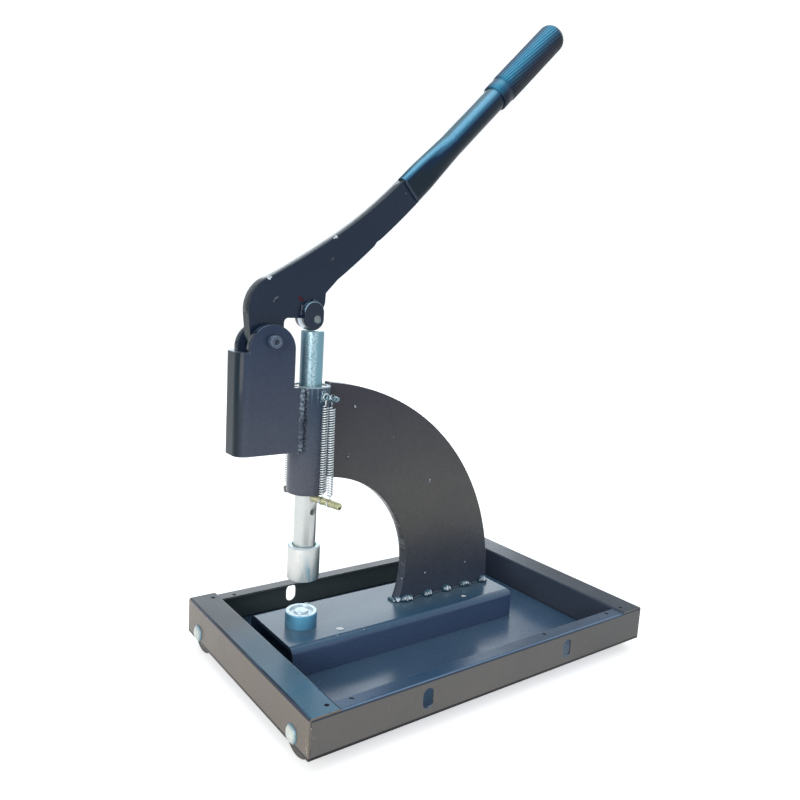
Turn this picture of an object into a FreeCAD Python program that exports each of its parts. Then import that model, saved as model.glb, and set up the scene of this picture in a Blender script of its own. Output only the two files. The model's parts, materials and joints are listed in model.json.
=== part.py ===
import FreeCAD, Part
import math
import os

# Eyelet press on a sheet-metal tray. Millimetres, +Z up.
# Origin: middle of the tray on the ground. -X is the punch end, +X the end under the raised
# handle, -Y the right side and +Y the left side as seen by someone who faces along +X.

Vector = FreeCAD.Vector
UP = Vector(0, 0, 1)
DOWN = Vector(0, 0, -1)
ALONG_X = Vector(1, 0, 0)
ALONG_Y = Vector(0, 1, 0)

# ---------------------------------------------------------------- driving dimensions
# Tray
tray_length = 480.0
tray_width = 292.0
tray_height = 41.5
tray_sheet = 2.0
tray_bend = 3.0
end_flange_width = 34.5
side_flange_width = 17.0
flange_hole_diameter = 5.0
end_hole_from_end = 25.1
flange_hole_from_side = 12.4
side_hole_from_end = 52.4
extra_side_hole_x = 76.0
side_slot_from_end = 136.9
side_slot_width = 14.0
side_slot_height = 22.0
side_slot_below_top = 21.1

# Round feet, bolted inside the end rails
foot_radius = 25.0
foot_flat_depth = 0.4
foot_edge_round = 1.2
foot_axis_from_side = 31.3
foot_axis_below_top = 31.0
foot_bolt_diameter = 8.0
foot_bolt_tail = 1.0
foot_bolt_head_diameter = 20.0
foot_bolt_head_height = 4.9
foot_spacer_diameter = 17.0
foot_spacer_thickness = 3.5
foot_washer_diameter = 20.0
foot_washer_thickness = 1.6

# Where the machine stands in the tray
machine_y = 31.7
ram_from_front = 88.8

# Plinth channel
plinth_width = 101.9
plinth_height = 34.2
plinth_wall = 5.0
plinth_bend = 9.0
plinth_front_overhang = 37.5
plinth_rear_margin = 7.0
plinth_weld_radius = 3.0
plinth_weld_length = 24.0
plinth_weld_pitch = 96.0
plinth_weld_count = 3

# Column plate
column_thickness = 14.0
column_above_tube = 3.3
throat_radius = 125.8
throat_centre_from_ram = 15.5
throat_top_above_tube_bottom = 14.9
column_weld_radius = 4.0
column_weld_length = 9.0
column_weld_count = 5
column_weld_from_throat = 15.0
column_weld_from_heel = 7.7

# Guide tube and its bushes
tube_diameter = 45.0
tube_wall = 5.0
tube_length = 120.1
tube_bottom_above_plinth = 157.6
tube_rim_chamfer = 0.8
bush_length = 28.0
bush_set_back = 1.5
tube_weld_radius = 3.0
tube_weld_from_end = 8.0

# Fulcrum bracket, bent from one plate
bracket_wall = 8.0
bracket_bend = 12.0
bracket_web_from_pivot = 37.0
bracket_web_top_below_pivot = 11.6
bracket_bottom_above_tube_bottom = 50.2
ear_radius = 25.9
ear_centre_below_pivot = 9.0
bracket_weld_radius = 6.0
bracket_weld_from_bottom = 4.0
bracket_weld_from_top = 6.0

# Pivot
pivot_from_ram = 55.8
pivot_above_tube = 48.8
pivot_bolt_diameter = 8.0
pivot_head_diameter = 13.0
pivot_head_height = 8.0
pivot_head_chamfer = 0.5
pivot_socket_size = 6.0
pivot_socket_depth = 4.0
pivot_bolt_tail = 3.0
pivot_spacer_diameter = 18.0
pivot_spacer_thickness = 4.0
pivot_bush_wall = 3.0

# Lever plate, places measured from the pivot as (x, z)
lever_thickness = 14.0
lever_eye_radius = 20.0
lever_head_radius = 36.8
lever_head_centre = (13.5, 31.0)
lever_top_start = (3.0, 66.3)
lever_top_middle = (38.8, 87.4)
lever_top_bump = (80.0, 114.0)
lever_top_upper = (118.0, 142.4)
lever_notch_left = 17.5
lever_notch_top = 23.4
lever_notch_round = 5.0
lever_heel_foot = (65.7, 40.0)
lever_heel_top = (66.3, 50.8)
lever_waist = (80.5, 65.9)
lever_back_middle = (103.0, 84.5)
lever_step_foot = (125.4, 104.4)
lever_step_top = (129.0, 109.6)
lever_step_shoulder = (134.0, 112.8)
lever_fore_middle = (158.9, 135.3)
lever_pocket_clearance = 1.5
lever_pocket_exit_angle = 42.0

# Roller in its fork on the lever
roller_arm = 57.5
roller_arm_angle = 24.0
roller_diameter = 26.0
roller_chamfer = 1.0
roller_pin_diameter = 8.0
roller_pin_proud = 0.6
fork_plate_thickness = 8.0
fork_radius = 11.5
fork_straight = 6.8
right_fork_set_back = 3.6
left_fork_set_back = 0.0
right_fork_weld_angles = (62, 172)
left_fork_weld_angles = (60, 140)
fork_weld_radius = 2.2

# Handle
handle_angle = 45.2
handle_axis_offset = -2.4
handle_diameter = 29.0
handle_wall = 2.0
handle_mouth = 242.0
handle_flat_length = 26.0
handle_taper_length = 56.0
handle_end = 540.0
handle_weld_radius = 2.4

# Hand grip
grip_before_handle_end = 126.0
grip_collar_length = 18.0
grip_collar_diameter = 33.0
grip_diameter = 34.8
grip_end_cap = 11.0
grip_dome_length = 10.0
grip_flute_count = 36
grip_flute_radius = 1.1
grip_flute_depth = 0.5
grip_flute_end_margin = 4.0

# Ram
ram_diameter = 25.0
ram_chamfer = 1.0
ram_hole_diameter = 7.5
ram_hole_above_die = 40.4

# Dies
lower_die_diameter = 36.4
lower_die_height = 16.9
lower_die_rim = 4.5
lower_die_groove_depth = 2.4
lower_die_centre_diameter = 15.0
lower_die_stem_diameter = 12.0
lower_die_nut_size = 19.0
lower_die_nut_height = 8.0
lower_die_stem_tail = 2.5
ram_travel = 39.0
upper_die_diameter = 36.5
upper_die_height = 39.3
upper_die_chamfer = 1.4
upper_die_socket_depth = 22.0
upper_die_relief_width = 1.2
upper_die_relief_depth = 1.8
upper_die_boss_diameter = 14.0
upper_die_boss_recess = 2.0
set_screw_diameter = 6.0
set_screw_from_top = 13.0
set_screw_sunk = 0.9

# Cross bar, studs and return springs
cross_bar_diameter = 8.0
cross_bar_below_tube = 1.0
cross_bar_yaw = 12.0
cross_bar_near_reach = 55.0
cross_bar_far_reach = 36.5
stud_diameter = 6.0
stud_below_tube_top = 10.4
stud_near_reach = 44.0
stud_far_reach = 37.0
spring_near_inner = 26.4
spring_near_outer = 37.2
spring_far = 33.0
spring_diameter = 6.6
spring_wire = 1.3
spring_turns = 42
spring_upper_hook = 9.0
spring_lower_hook = 7.0
hook_groove_depth = 0.8

# Metric nuts, as shares of their thread
nut_width_per_thread = 1.625
nut_height_per_thread = 0.8

# Named clearances and fits
running_gap = 0.05
bolt_gap = 0.25
side_gap = 0.1
roller_side_gap = 0.5
roller_ram_gap = 0.3
die_closed_gap = 0.6
hook_gap = 0.3
foot_wall_gap = 1.0
tongue_gap = 0.1
overshoot = 1.0

# ---------------------------------------------------------------- levels and places
ram_x = ram_from_front - tray_length / 2
foot_y = tray_width / 2 - foot_axis_from_side
side_hole_x = tray_length / 2 - side_hole_from_end
side_slot_x = tray_length / 2 - side_slot_from_end
foot_bolt_length = end_flange_width - tray_sheet - foot_wall_gap
foot_nut_height = foot_bolt_diameter * nut_height_per_thread
foot_thickness = (foot_bolt_length - foot_bolt_tail - foot_nut_height - foot_washer_thickness
                  - foot_spacer_thickness - tray_sheet)
foot_axis_z = foot_radius - foot_flat_depth
tray_top = foot_axis_z + foot_axis_below_top
tray_bottom = tray_top - tray_height
floor_top = tray_bottom + tray_sheet
side_rail_top = tray_top - tray_sheet
plinth_top = floor_top + plinth_height

tube_bottom = plinth_top + tube_bottom_above_plinth
tube_top = tube_bottom + tube_length
tube_radius = tube_diameter / 2
column_radius = tube_top - plinth_top + column_above_tube
plinth_front = ram_x - plinth_front_overhang
plinth_rear = ram_x + column_radius + plinth_rear_margin

pivot_x = ram_x - pivot_from_ram
pivot_z = tube_top + pivot_above_tube
pivot = Vector(pivot_x, machine_y, pivot_z)
bracket_inner_half = lever_thickness / 2 + pivot_spacer_thickness
bracket_outer_half = bracket_inner_half + bracket_wall

roller_radius = roller_diameter / 2
roller_x = pivot_x + roller_arm * math.cos(math.radians(roller_arm_angle))
roller_z = pivot_z + roller_arm * math.sin(math.radians(roller_arm_angle))
ram_radius = ram_diameter / 2
ram_top = roller_z - roller_radius - roller_ram_gap
lower_die_top = plinth_top + lower_die_height
upper_die_bottom = lower_die_top + ram_travel + die_closed_gap
upper_die_top = upper_die_bottom + upper_die_height
ram_bottom = upper_die_top - upper_die_socket_depth

cross_bar_z = tube_bottom - cross_bar_below_tube - cross_bar_diameter / 2
stud_z = tube_top - stud_below_tube_top
bar_yaw = math.radians(cross_bar_yaw)
bar_direction = Vector(math.sin(bar_yaw), -math.cos(bar_yaw), 0)

handle_turn = math.radians(handle_angle)
handle_direction = Vector(math.cos(handle_turn), 0, math.sin(handle_turn))
handle_across = Vector(-math.sin(handle_turn), 0, math.cos(handle_turn))
handle_origin = pivot + handle_across * handle_axis_offset
grip_start = handle_end - grip_before_handle_end
grip_tip = handle_end + grip_end_cap


# ---------------------------------------------------------------- shape helpers
def block(x0, x1, y0, y1, z0, z1):
    """A box between two corners."""
    return Part.makeBox(x1 - x0, y1 - y0, z1 - z0, Vector(x0, y0, z0))


def rod(radius, start, end):
    """A round bar between two points."""
    return Part.makeCylinder(radius, (end - start).Length, start, end - start)


def chamfered_rod(radius, start, end, chamfer):
    """A round bar with both ends chamfered, as one turned solid."""
    length = (end - start).Length
    profile = [(0, 0), (radius - chamfer, 0), (radius, chamfer), (radius, length - chamfer),
               (radius - chamfer, length), (0, length)]
    return turned(profile, start, end - start)


def turned(profile, start, direction):
    """Turn a profile of (radius, distance) points about an axis."""
    points = [Vector(radius, 0, distance) for radius, distance in profile]
    face = Part.Face(Part.makePolygon(points + points[:1]))
    solid = face.revolve(Vector(0, 0, 0), UP, 360)
    return placed(solid, start, direction)


def placed(shape, start, direction):
    """Move a shape from the origin to a point, with its Z axis along a direction."""
    rotation = FreeCAD.Rotation(UP, direction)
    shape.Placement = FreeCAD.Placement(start, rotation).multiply(shape.Placement)
    return shape


def hexagon_bar(across_flats, start, direction, height, spin=0.0):
    """A six-sided bar."""
    corner = across_flats / math.sqrt(3)
    points = [Vector(corner * math.cos(math.radians(angle + spin)),
                     corner * math.sin(math.radians(angle + spin)), 0)
              for angle in range(0, 360, 60)]
    face = Part.Face(Part.makePolygon(points + points[:1]))
    return placed(face.extrude(Vector(0, 0, height)), start, direction)


def nut(size, bore, start, direction, height):
    """A six-sided nut with its outer corners turned off."""
    body = hexagon_bar(size, start, direction, height)
    corner = size / math.sqrt(3)
    turn_off = corner - size / 2
    envelope = turned([(0, 0), (size / 2, 0), (corner, turn_off / 2), (corner, height - turn_off / 2),
                       (size / 2, height), (0, height)], start, direction)
    unit = Vector(direction).normalize()
    hole = rod(bore / 2, start - unit * overshoot, start + unit * (height + overshoot))
    return body.common(envelope).cut(hole)


def ring(outer, inner, start, direction, height):
    """A flat round ring, such as a washer, spacer or bush."""
    unit = Vector(direction).normalize()
    hole = rod(inner, start - unit * overshoot, start + unit * (height + overshoot))
    return rod(outer, start, start + unit * height).cut(hole)


def bead(start, end, radius):
    """A weld bead: a round bar with round ends."""
    body = rod(radius, start, end)
    return body.fuse([Part.makeSphere(radius, start), Part.makeSphere(radius, end)]).removeSplitter()


def plate_in_xz(edges, y_middle, thickness):
    """A flat plate from edges drawn in the XZ plane at y = 0."""
    face = Part.Face(Part.Wire(Part.__sortEdges__(edges)))
    plate = face.extrude(Vector(0, thickness, 0))
    plate.translate(Vector(0, y_middle - thickness / 2, 0))
    return plate


def line(start, end):
    return Part.makeLine(start, end)


def arc(start, middle, end):
    return Part.Arc(start, middle, end).toShape()


def chain(points):
    """Straight edges through a list of points."""
    return [line(first, second) for first, second in zip(points, points[1:])]


def flat(x, z):
    """A point in the XZ plane at y = 0."""
    return Vector(x, 0, z)


def from_pivot(place):
    """A point in the XZ plane, given as (x, z) from the pivot."""
    return flat(pivot_x + place[0], pivot_z + place[1])


def on_circle(centre, radius, degrees):
    """A point on a circle in the XZ plane."""
    angle = math.radians(degrees)
    return centre + flat(radius * math.cos(angle), radius * math.sin(angle))


def compound(solids):
    return Part.makeCompound(solids)


# ---------------------------------------------------------------- tray
def angle_rail(length, height, flange):
    """A bent sheet rail: outer face at x = 0, flange towards +X, length along Y, top at z = 0."""
    inner_bend = tray_bend - tray_sheet
    slant = math.sqrt(0.5)
    outer_centre = flat(tray_bend, -tray_bend)
    outer_middle = outer_centre + flat(-tray_bend * slant, tray_bend * slant)
    inner_middle = outer_centre + flat(-inner_bend * slant, inner_bend * slant)
    edges = [line(flat(0, -height), flat(0, -tray_bend)),
             arc(flat(0, -tray_bend), outer_middle, flat(tray_bend, 0)),
             line(flat(tray_bend, 0), flat(flange, 0)),
             line(flat(flange, 0), flat(flange, -tray_sheet)),
             line(flat(flange, -tray_sheet), flat(tray_bend, -tray_sheet)),
             arc(flat(tray_bend, -tray_sheet), inner_middle, flat(tray_sheet, -tray_bend)),
             line(flat(tray_sheet, -tray_bend), flat(tray_sheet, -height)),
             line(flat(tray_sheet, -height), flat(0, -height))]
    return plate_in_xz(edges, 0, length)


def channel_rail(length, height, width):
    """A bent sheet channel, open below: outer face at x = 0, inner face at x = width."""
    inner_bend = tray_bend - tray_sheet
    slant = math.sqrt(0.5)

    def bend(centre_x, radius, side):
        return flat(centre_x, -tray_bend) + flat(side * radius * slant, radius * slant)

    inner = width - tray_bend
    edges = [line(flat(0, -height), flat(0, -tray_bend)),
             arc(flat(0, -tray_bend), bend(tray_bend, tray_bend, -1), flat(tray_bend, 0)),
             line(flat(tray_bend, 0), flat(inner, 0)),
             arc(flat(inner, 0), bend(inner, tray_bend, 1), flat(width, -tray_bend)),
             line(flat(width, -tray_bend), flat(width, -height)),
             line(flat(width, -height), flat(width - tray_sheet, -height)),
             line(flat(width - tray_sheet, -height), flat(width - tray_sheet, -tray_bend)),
             arc(flat(width - tray_sheet, -tray_bend), bend(inner, inner_bend, 1),
                 flat(inner, -tray_sheet)),
             line(flat(inner, -tray_sheet), flat(tray_bend, -tray_sheet)),
             arc(flat(tray_bend, -tray_sheet), bend(tray_bend, inner_bend, -1),
                 flat(tray_sheet, -tray_bend)),
             line(flat(tray_sheet, -tray_bend), flat(tray_sheet, -height)),
             line(flat(tray_sheet, -height), flat(0, -height))]
    return plate_in_xz(edges, 0, length)


def foot_places():
    """The four bolt axes, as (x of the rail's outer face, y, direction into the tray)."""
    return [(end * tray_length / 2, side * foot_y, -end)
            for end in (-1, 1) for side in (-1, 1)]


def flange_drill(x, y):
    """The cutter of one upright hole through the flanges."""
    return rod(flange_hole_diameter / 2, Vector(x, y, tray_top - 2 * tray_sheet - overshoot),
               Vector(x, y, tray_top + overshoot))


def flange_drills():
    """Cutters of all the flange holes."""
    corner_x = tray_length / 2 - end_hole_from_end
    hole_y = tray_width / 2 - flange_hole_from_side
    places = [(end * corner_x, side * hole_y) for end in (-1, 1) for side in (-1, 1)]
    places += [(end * side_hole_x, side * hole_y) for end in (-1, 1) for side in (-1, 1)]
    places += [(extra_side_hole_x, -hole_y)]
    return [flange_drill(x, y) for x, y in places]


def end_rail(end):
    """The front (-1) or rear (+1) rail, a channel whose top laps over the side rails."""
    rail = channel_rail(tray_width, tray_height, end_flange_width)
    inner_wall = (end_flange_width - tray_bend - overshoot, end_flange_width + overshoot)
    wall_end = tray_width / 2 - tray_sheet
    flange_edge = tray_width / 2 - side_flange_width - side_gap
    for side in (-1, 1):
        beyond = sorted((side * wall_end, side * tray_width))
        over = sorted((side * flange_edge, side * tray_width))
        rail = rail.cut([block(*inner_wall, *beyond, -tray_height - overshoot, -tray_sheet),
                         block(*inner_wall, *over, -2 * tray_sheet - side_gap, -tray_sheet)])
    if end > 0:
        rail.rotate(Vector(0, 0, 0), UP, 180)
    rail.translate(Vector(end * tray_length / 2, 0, tray_top))
    drills = [rod(foot_bolt_diameter / 2 + bolt_gap, Vector(x - overshoot * 5, y, foot_axis_z),
                  Vector(x + overshoot * 5, y, foot_axis_z)) for x, y, inward in foot_places()]
    return rail.cut(drills + flange_drills())


def side_slot(x, y):
    """The cutter of one upright slot with round ends."""
    middle = tray_top - side_slot_below_top
    half = (side_slot_height - side_slot_width) / 2
    reach = Vector(0, tray_bend + overshoot, 0)
    ends = [rod(side_slot_width / 2, Vector(x, y, middle + lift) - reach,
                Vector(x, y, middle + lift) + reach) for lift in (-half, half)]
    body = block(x - side_slot_width / 2, x + side_slot_width / 2, y - reach.y, y + reach.y,
                 middle - half, middle + half)
    return body.fuse(ends)


def side_rail(side, end_rails):
    """The right (-1) or left (+1) rail, one sheet lower, with its ends cut to fit the end rails."""
    length = tray_length - 2 * tray_sheet
    rail = angle_rail(length, side_rail_top - tray_bottom, side_flange_width)
    rail.rotate(Vector(0, 0, 0), UP, -90 * side)
    rail.translate(Vector(0, side * tray_width / 2, side_rail_top))
    slots = [side_slot(end * side_slot_x, side * tray_width / 2) for end in (-1, 1)]
    return rail.cut(slots + flange_drills() + end_rails)


def tray_floor():
    """The floor sheet between the inner walls of the end rails and the side rails."""
    half_length = tray_length / 2 - end_flange_width
    half_width = tray_width / 2 - tray_sheet
    return block(-half_length, half_length, -half_width, half_width, tray_bottom, floor_top)


# ---------------------------------------------------------------- feet
def round_foot(x, y, inward):
    """A thick disc clamped by its bolt, with a small flat that meets the ground."""
    face = x + inward * (tray_sheet + foot_spacer_thickness)
    start = Vector(face, y, foot_axis_z)
    edge = foot_radius - foot_edge_round
    profile = [(0, 0), (edge, 0), (foot_radius, foot_edge_round),
               (foot_radius, foot_thickness - foot_edge_round), (edge, foot_thickness),
               (0, foot_thickness)]
    disc = turned(profile, start, ALONG_X * inward)
    bore = rod(foot_bolt_diameter / 2 + bolt_gap, start - ALONG_X * inward * overshoot,
               start + ALONG_X * inward * (foot_thickness + overshoot))
    ground = block(face - 2 * foot_thickness, face + 2 * foot_thickness, y - foot_radius,
                   y + foot_radius, -foot_radius, 0)
    return disc.cut([bore, ground])


def foot_bolt(x, y, inward):
    """A round-headed carriage bolt with its domed head on the rail's outer face."""
    face = Vector(x, y, foot_axis_z)
    head_radius = foot_bolt_head_diameter / 2
    dome = (head_radius ** 2 + foot_bolt_head_height ** 2) / (2 * foot_bolt_head_height)
    ball = Part.makeSphere(dome, face + ALONG_X * inward * (dome - foot_bolt_head_height))
    head = ball.common(rod(head_radius + overshoot, face, face - ALONG_X * inward * dome))
    shank = rod(foot_bolt_diameter / 2, face, face + ALONG_X * inward * foot_bolt_length)
    return head.fuse(shank).removeSplitter()


def foot_spacer(x, y, inward):
    start = Vector(x + inward * tray_sheet, y, foot_axis_z)
    return ring(foot_spacer_diameter / 2, foot_bolt_diameter / 2 + bolt_gap, start,
                ALONG_X * inward, foot_spacer_thickness)


def foot_washer(x, y, inward):
    offset = tray_sheet + foot_spacer_thickness + foot_thickness
    start = Vector(x + inward * offset, y, foot_axis_z)
    return ring(foot_washer_diameter / 2, foot_bolt_diameter / 2 + bolt_gap, start,
                ALONG_X * inward, foot_washer_thickness)


def foot_nut(x, y, inward):
    offset = tray_sheet + foot_spacer_thickness + foot_thickness + foot_washer_thickness
    start = Vector(x + inward * offset, y, foot_axis_z)
    return nut(foot_bolt_diameter * nut_width_per_thread, foot_bolt_diameter, start,
               ALONG_X * inward, foot_nut_height)


# ---------------------------------------------------------------- plinth and lower die
def plinth_section(half_width, height, bend):
    """A closed inverted-U outline in the YZ plane, standing on z = 0."""
    def at(y, z):
        return Vector(0, y, z)
    slant = math.sqrt(0.5)
    corner = height - bend
    left_middle = at(-half_width + bend * (1 - slant), corner + bend * slant)
    right_middle = at(half_width - bend * (1 - slant), corner + bend * slant)
    edges = [line(at(-half_width, 0), at(-half_width, corner)),
             arc(at(-half_width, corner), left_middle, at(-half_width + bend, height)),
             line(at(-half_width + bend, height), at(half_width - bend, height)),
             arc(at(half_width - bend, height), right_middle, at(half_width, corner)),
             line(at(half_width, corner), at(half_width, 0)),
             line(at(half_width, 0), at(-half_width, 0))]
    return Part.Face(Part.Wire(edges))


def plinth_channel():
    """The inverted channel that the column stands on, open at both ends."""
    length = plinth_rear - plinth_front
    outer = plinth_section(plinth_width / 2, plinth_height, plinth_bend)
    outer = outer.extrude(ALONG_X * length)
    inner = plinth_section(plinth_width / 2 - plinth_wall, plinth_height - plinth_wall,
                           plinth_bend - plinth_wall)
    inner = inner.extrude(ALONG_X * length)
    channel = outer.cut(inner)
    channel.translate(Vector(plinth_front, machine_y, floor_top))
    stem_hole = rod(lower_die_stem_diameter / 2 + bolt_gap,
                    Vector(ram_x, machine_y, plinth_top - 2 * plinth_wall),
                    Vector(ram_x, machine_y, plinth_top + overshoot))
    return channel.cut(stem_hole)


def plinth_welds(channel):
    """Stitch beads inside the channel, along both of its foot edges."""
    under = block(plinth_front, plinth_rear, machine_y - plinth_width, machine_y + plinth_width,
                  floor_top - 2 * plinth_weld_radius, floor_top)
    middle = (plinth_front + plinth_rear) / 2
    inner_half = plinth_width / 2 - plinth_wall
    beads = []
    for side in (-1, 1):
        for step in range(plinth_weld_count):
            x = middle + (step - (plinth_weld_count - 1) / 2) * plinth_weld_pitch
            y = machine_y + side * inner_half
            run = ALONG_X * (plinth_weld_length / 2)
            place = Vector(x, y, floor_top)
            beads.append(bead(place - run, place + run, plinth_weld_radius).cut([channel, under]))
    return compound(beads)


def lower_die():
    """The anvil die: a rim, a groove and a raised centre, with a stem through the plinth."""
    radius = lower_die_diameter / 2
    rim_inner = radius - lower_die_rim
    centre = lower_die_centre_diameter / 2
    stem = lower_die_stem_diameter / 2
    stem_bottom = -plinth_wall - lower_die_nut_height - lower_die_stem_tail
    groove = lower_die_height - lower_die_groove_depth
    edge = lower_die_rim / 5
    profile = [(0, stem_bottom), (stem, stem_bottom), (stem, 0), (radius, 0),
               (radius, lower_die_height - edge), (radius - edge, lower_die_height),
               (rim_inner, lower_die_height), (rim_inner - edge, groove), (centre + edge, groove),
               (centre, lower_die_height), (0, lower_die_height)]
    return turned(profile, Vector(ram_x, machine_y, plinth_top), UP)


def lower_die_nut():
    start = Vector(ram_x, machine_y, plinth_top - plinth_wall)
    return nut(lower_die_nut_size, lower_die_stem_diameter, start, DOWN, lower_die_nut_height)


# ---------------------------------------------------------------- column and guide tube
def throat_circle():
    """Centre of the round throat opening under the column's arch."""
    top = tube_bottom + throat_top_above_tube_bottom
    return flat(ram_x + throat_centre_from_ram, top - throat_radius)


def column_plate(tube_envelope):
    """A quarter-round plate over the throat, from the guide tube down to the plinth."""
    foot = flat(ram_x, plinth_top)
    heel = foot + flat(column_radius, 0)
    crown = foot + flat(0, column_radius)
    edges = [arc(crown, on_circle(foot, column_radius, 45), heel), line(heel, foot),
             line(foot, crown)]
    plate = plate_in_xz(edges, machine_y, column_thickness)
    centre = throat_circle()
    reach = Vector(0, column_thickness, 0)
    middle = centre + Vector(0, machine_y, 0)
    throat = rod(throat_radius, middle - reach, middle + reach)
    front = block(ram_x - tube_radius, centre.x, machine_y - column_thickness,
                  machine_y + column_thickness, plinth_top - overshoot, centre.z + throat_radius)
    return plate.cut([throat, front, tube_envelope])


def throat_foot_x():
    """Where the throat circle meets the plinth, behind the die."""
    centre = throat_circle()
    drop = centre.z - plinth_top
    return centre.x + math.sqrt(throat_radius ** 2 - drop ** 2)


def column_welds(plate, channel):
    """Stitch beads on both sides of the plate's foot, evenly from throat to heel."""
    first = throat_foot_x() + column_weld_from_throat
    last = ram_x + column_radius - column_weld_from_heel
    pitch = (last - first) / (column_weld_count - 1)
    beads = []
    for side in (-1, 1):
        for step in range(column_weld_count):
            x = first + step * pitch
            place = Vector(x, machine_y + side * column_thickness / 2, plinth_top)
            run = ALONG_X * (column_weld_length / 2)
            beads.append(bead(place - run, place + run, column_weld_radius).cut([plate, channel]))
    return compound(beads)


def guide_tube():
    """The upright tube that holds the ram's bushes."""
    inner = tube_radius - tube_wall
    profile = [(inner + tube_rim_chamfer, 0), (tube_radius - tube_rim_chamfer, 0),
               (tube_radius, tube_rim_chamfer), (tube_radius, tube_length - tube_rim_chamfer),
               (tube_radius - tube_rim_chamfer, tube_length), (inner + tube_rim_chamfer, tube_length),
               (inner, tube_length - tube_rim_chamfer), (inner, tube_rim_chamfer)]
    return turned(profile, Vector(ram_x, machine_y, tube_bottom), UP)


def guide_bush(bottom):
    """A plain bearing bush, tight in the tube and a running fit on the ram."""
    return ring(tube_radius - tube_wall, ram_radius + running_gap,
                Vector(ram_x, machine_y, bottom), UP, bush_length)


def tube_welds(tube, plate):
    """Upright beads between the tube and the column plate, one each side."""
    half = column_thickness / 2
    x = ram_x + math.sqrt(tube_radius ** 2 - half ** 2)
    bottom = tube_bottom + throat_top_above_tube_bottom + tube_weld_from_end
    top = tube_top - tube_weld_from_end - stud_below_tube_top
    beads = [bead(Vector(x, machine_y + side * half, bottom), Vector(x, machine_y + side * half, top),
                  tube_weld_radius).cut([tube, plate]) for side in (-1, 1)]
    return compound(beads)


# ---------------------------------------------------------------- fulcrum bracket and pivot
def bracket_section(half_width, web_x, bend):
    """A U outline seen from above: web at the front, open towards the tube."""
    slant = math.sqrt(0.5)
    rear = ram_x

    def at(x, y):
        return Vector(x, machine_y + y, 0)
    shoulder = half_width - bend
    near_middle = at(web_x + bend * (1 - slant), -shoulder - bend * slant)
    far_middle = at(web_x + bend * (1 - slant), shoulder + bend * slant)
    edges = [line(at(rear, -half_width), at(web_x + bend, -half_width)),
             arc(at(web_x + bend, -half_width), near_middle, at(web_x, -shoulder)),
             line(at(web_x, -shoulder), at(web_x, shoulder)),
             arc(at(web_x, shoulder), far_middle, at(web_x + bend, half_width)),
             line(at(web_x + bend, half_width), at(rear, half_width)),
             line(at(rear, half_width), at(rear, -half_width))]
    return Part.Face(Part.Wire(edges))


def fulcrum_bracket():
    """One bent plate: a web in front, two cheeks that butt on the tube, and round ears."""
    web_x = pivot_x - bracket_web_from_pivot
    bottom = tube_bottom + bracket_bottom_above_tube_bottom
    ear = pivot - UP * ear_centre_below_pivot
    height = ear.z + ear_radius - bottom
    outer = bracket_section(bracket_outer_half, web_x, bracket_bend).extrude(UP * height)
    inner = bracket_section(bracket_inner_half, web_x + bracket_wall, bracket_bend - bracket_wall)
    inner = inner.extrude(UP * height)
    folded = outer.cut(inner)
    folded.translate(UP * bottom)
    web_top = pivot_z - bracket_web_top_below_pivot
    far = 2 * bracket_outer_half
    low = block(web_x - overshoot, ram_x - tube_radius, machine_y - far, machine_y + far,
                bottom - overshoot, tube_top)
    high = block(web_x - overshoot, ear.x + ear_radius, machine_y - far, machine_y + far,
                 bottom, min(web_top, ear.z))
    ears = rod(ear_radius, ear - ALONG_Y * far, ear + ALONG_Y * far)
    side_view = low.fuse([high, ears])
    hole = rod(pivot_bolt_diameter / 2 + running_gap, pivot - ALONG_Y * far, pivot + ALONG_Y * far)
    return folded.common(side_view).cut(hole)


def bracket_welds(bracket, tube):
    """Upright beads that fill the corners between the cheeks and the tube."""
    bottom = tube_bottom + bracket_bottom_above_tube_bottom + bracket_weld_from_bottom
    top = tube_top - bracket_weld_from_top
    y_offset = (bracket_inner_half + bracket_outer_half) / 2
    tube_x = ram_x - math.sqrt(tube_radius ** 2 - y_offset ** 2)
    x = (tube_x + ram_x - tube_radius) / 2
    beads = []
    for side in (-1, 1):
        y = machine_y + side * y_offset
        shape = bead(Vector(x, y, bottom), Vector(x, y, top), bracket_weld_radius)
        inside = block(x - 2 * bracket_wall, x + 2 * bracket_wall, machine_y - bracket_inner_half,
                       machine_y + bracket_inner_half, bottom - 2 * bracket_wall,
                       top + 2 * bracket_wall)
        beads.append(shape.cut([bracket, tube, inside]))
    return compound(beads)


def pivot_bolt():
    """A socket-head screw through both cheeks, with its head on the right side."""
    head_face = pivot - ALONG_Y * bracket_outer_half
    head_end = head_face - ALONG_Y * pivot_head_height
    nut_height = pivot_bolt_diameter * nut_height_per_thread
    tail = pivot + ALONG_Y * (bracket_outer_half + nut_height + pivot_bolt_tail)
    head = chamfered_rod(pivot_head_diameter / 2, head_end, head_face, pivot_head_chamfer)
    socket = hexagon_bar(pivot_socket_size, head_end, ALONG_Y, pivot_socket_depth, 30)
    shank = rod(pivot_bolt_diameter / 2, head_face, tail)
    return head.cut(socket).fuse(shank).removeSplitter()


def pivot_nut():
    start = pivot + ALONG_Y * bracket_outer_half
    return nut(pivot_bolt_diameter * nut_width_per_thread, pivot_bolt_diameter, start, ALONG_Y,
               pivot_bolt_diameter * nut_height_per_thread)


def pivot_spacer(side):
    """A spacer between the lever and one cheek."""
    start = pivot + ALONG_Y * (side * (lever_thickness / 2 + side_gap))
    return ring(pivot_spacer_diameter / 2, pivot_bolt_diameter / 2 + running_gap, start,
                ALONG_Y * side, pivot_spacer_thickness - side_gap)


def pivot_bush():
    """The lever's bearing bush."""
    return ring(pivot_bolt_diameter / 2 + pivot_bush_wall, pivot_bolt_diameter / 2 + running_gap,
                pivot - ALONG_Y * (lever_thickness / 2), ALONG_Y, lever_thickness)


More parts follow.
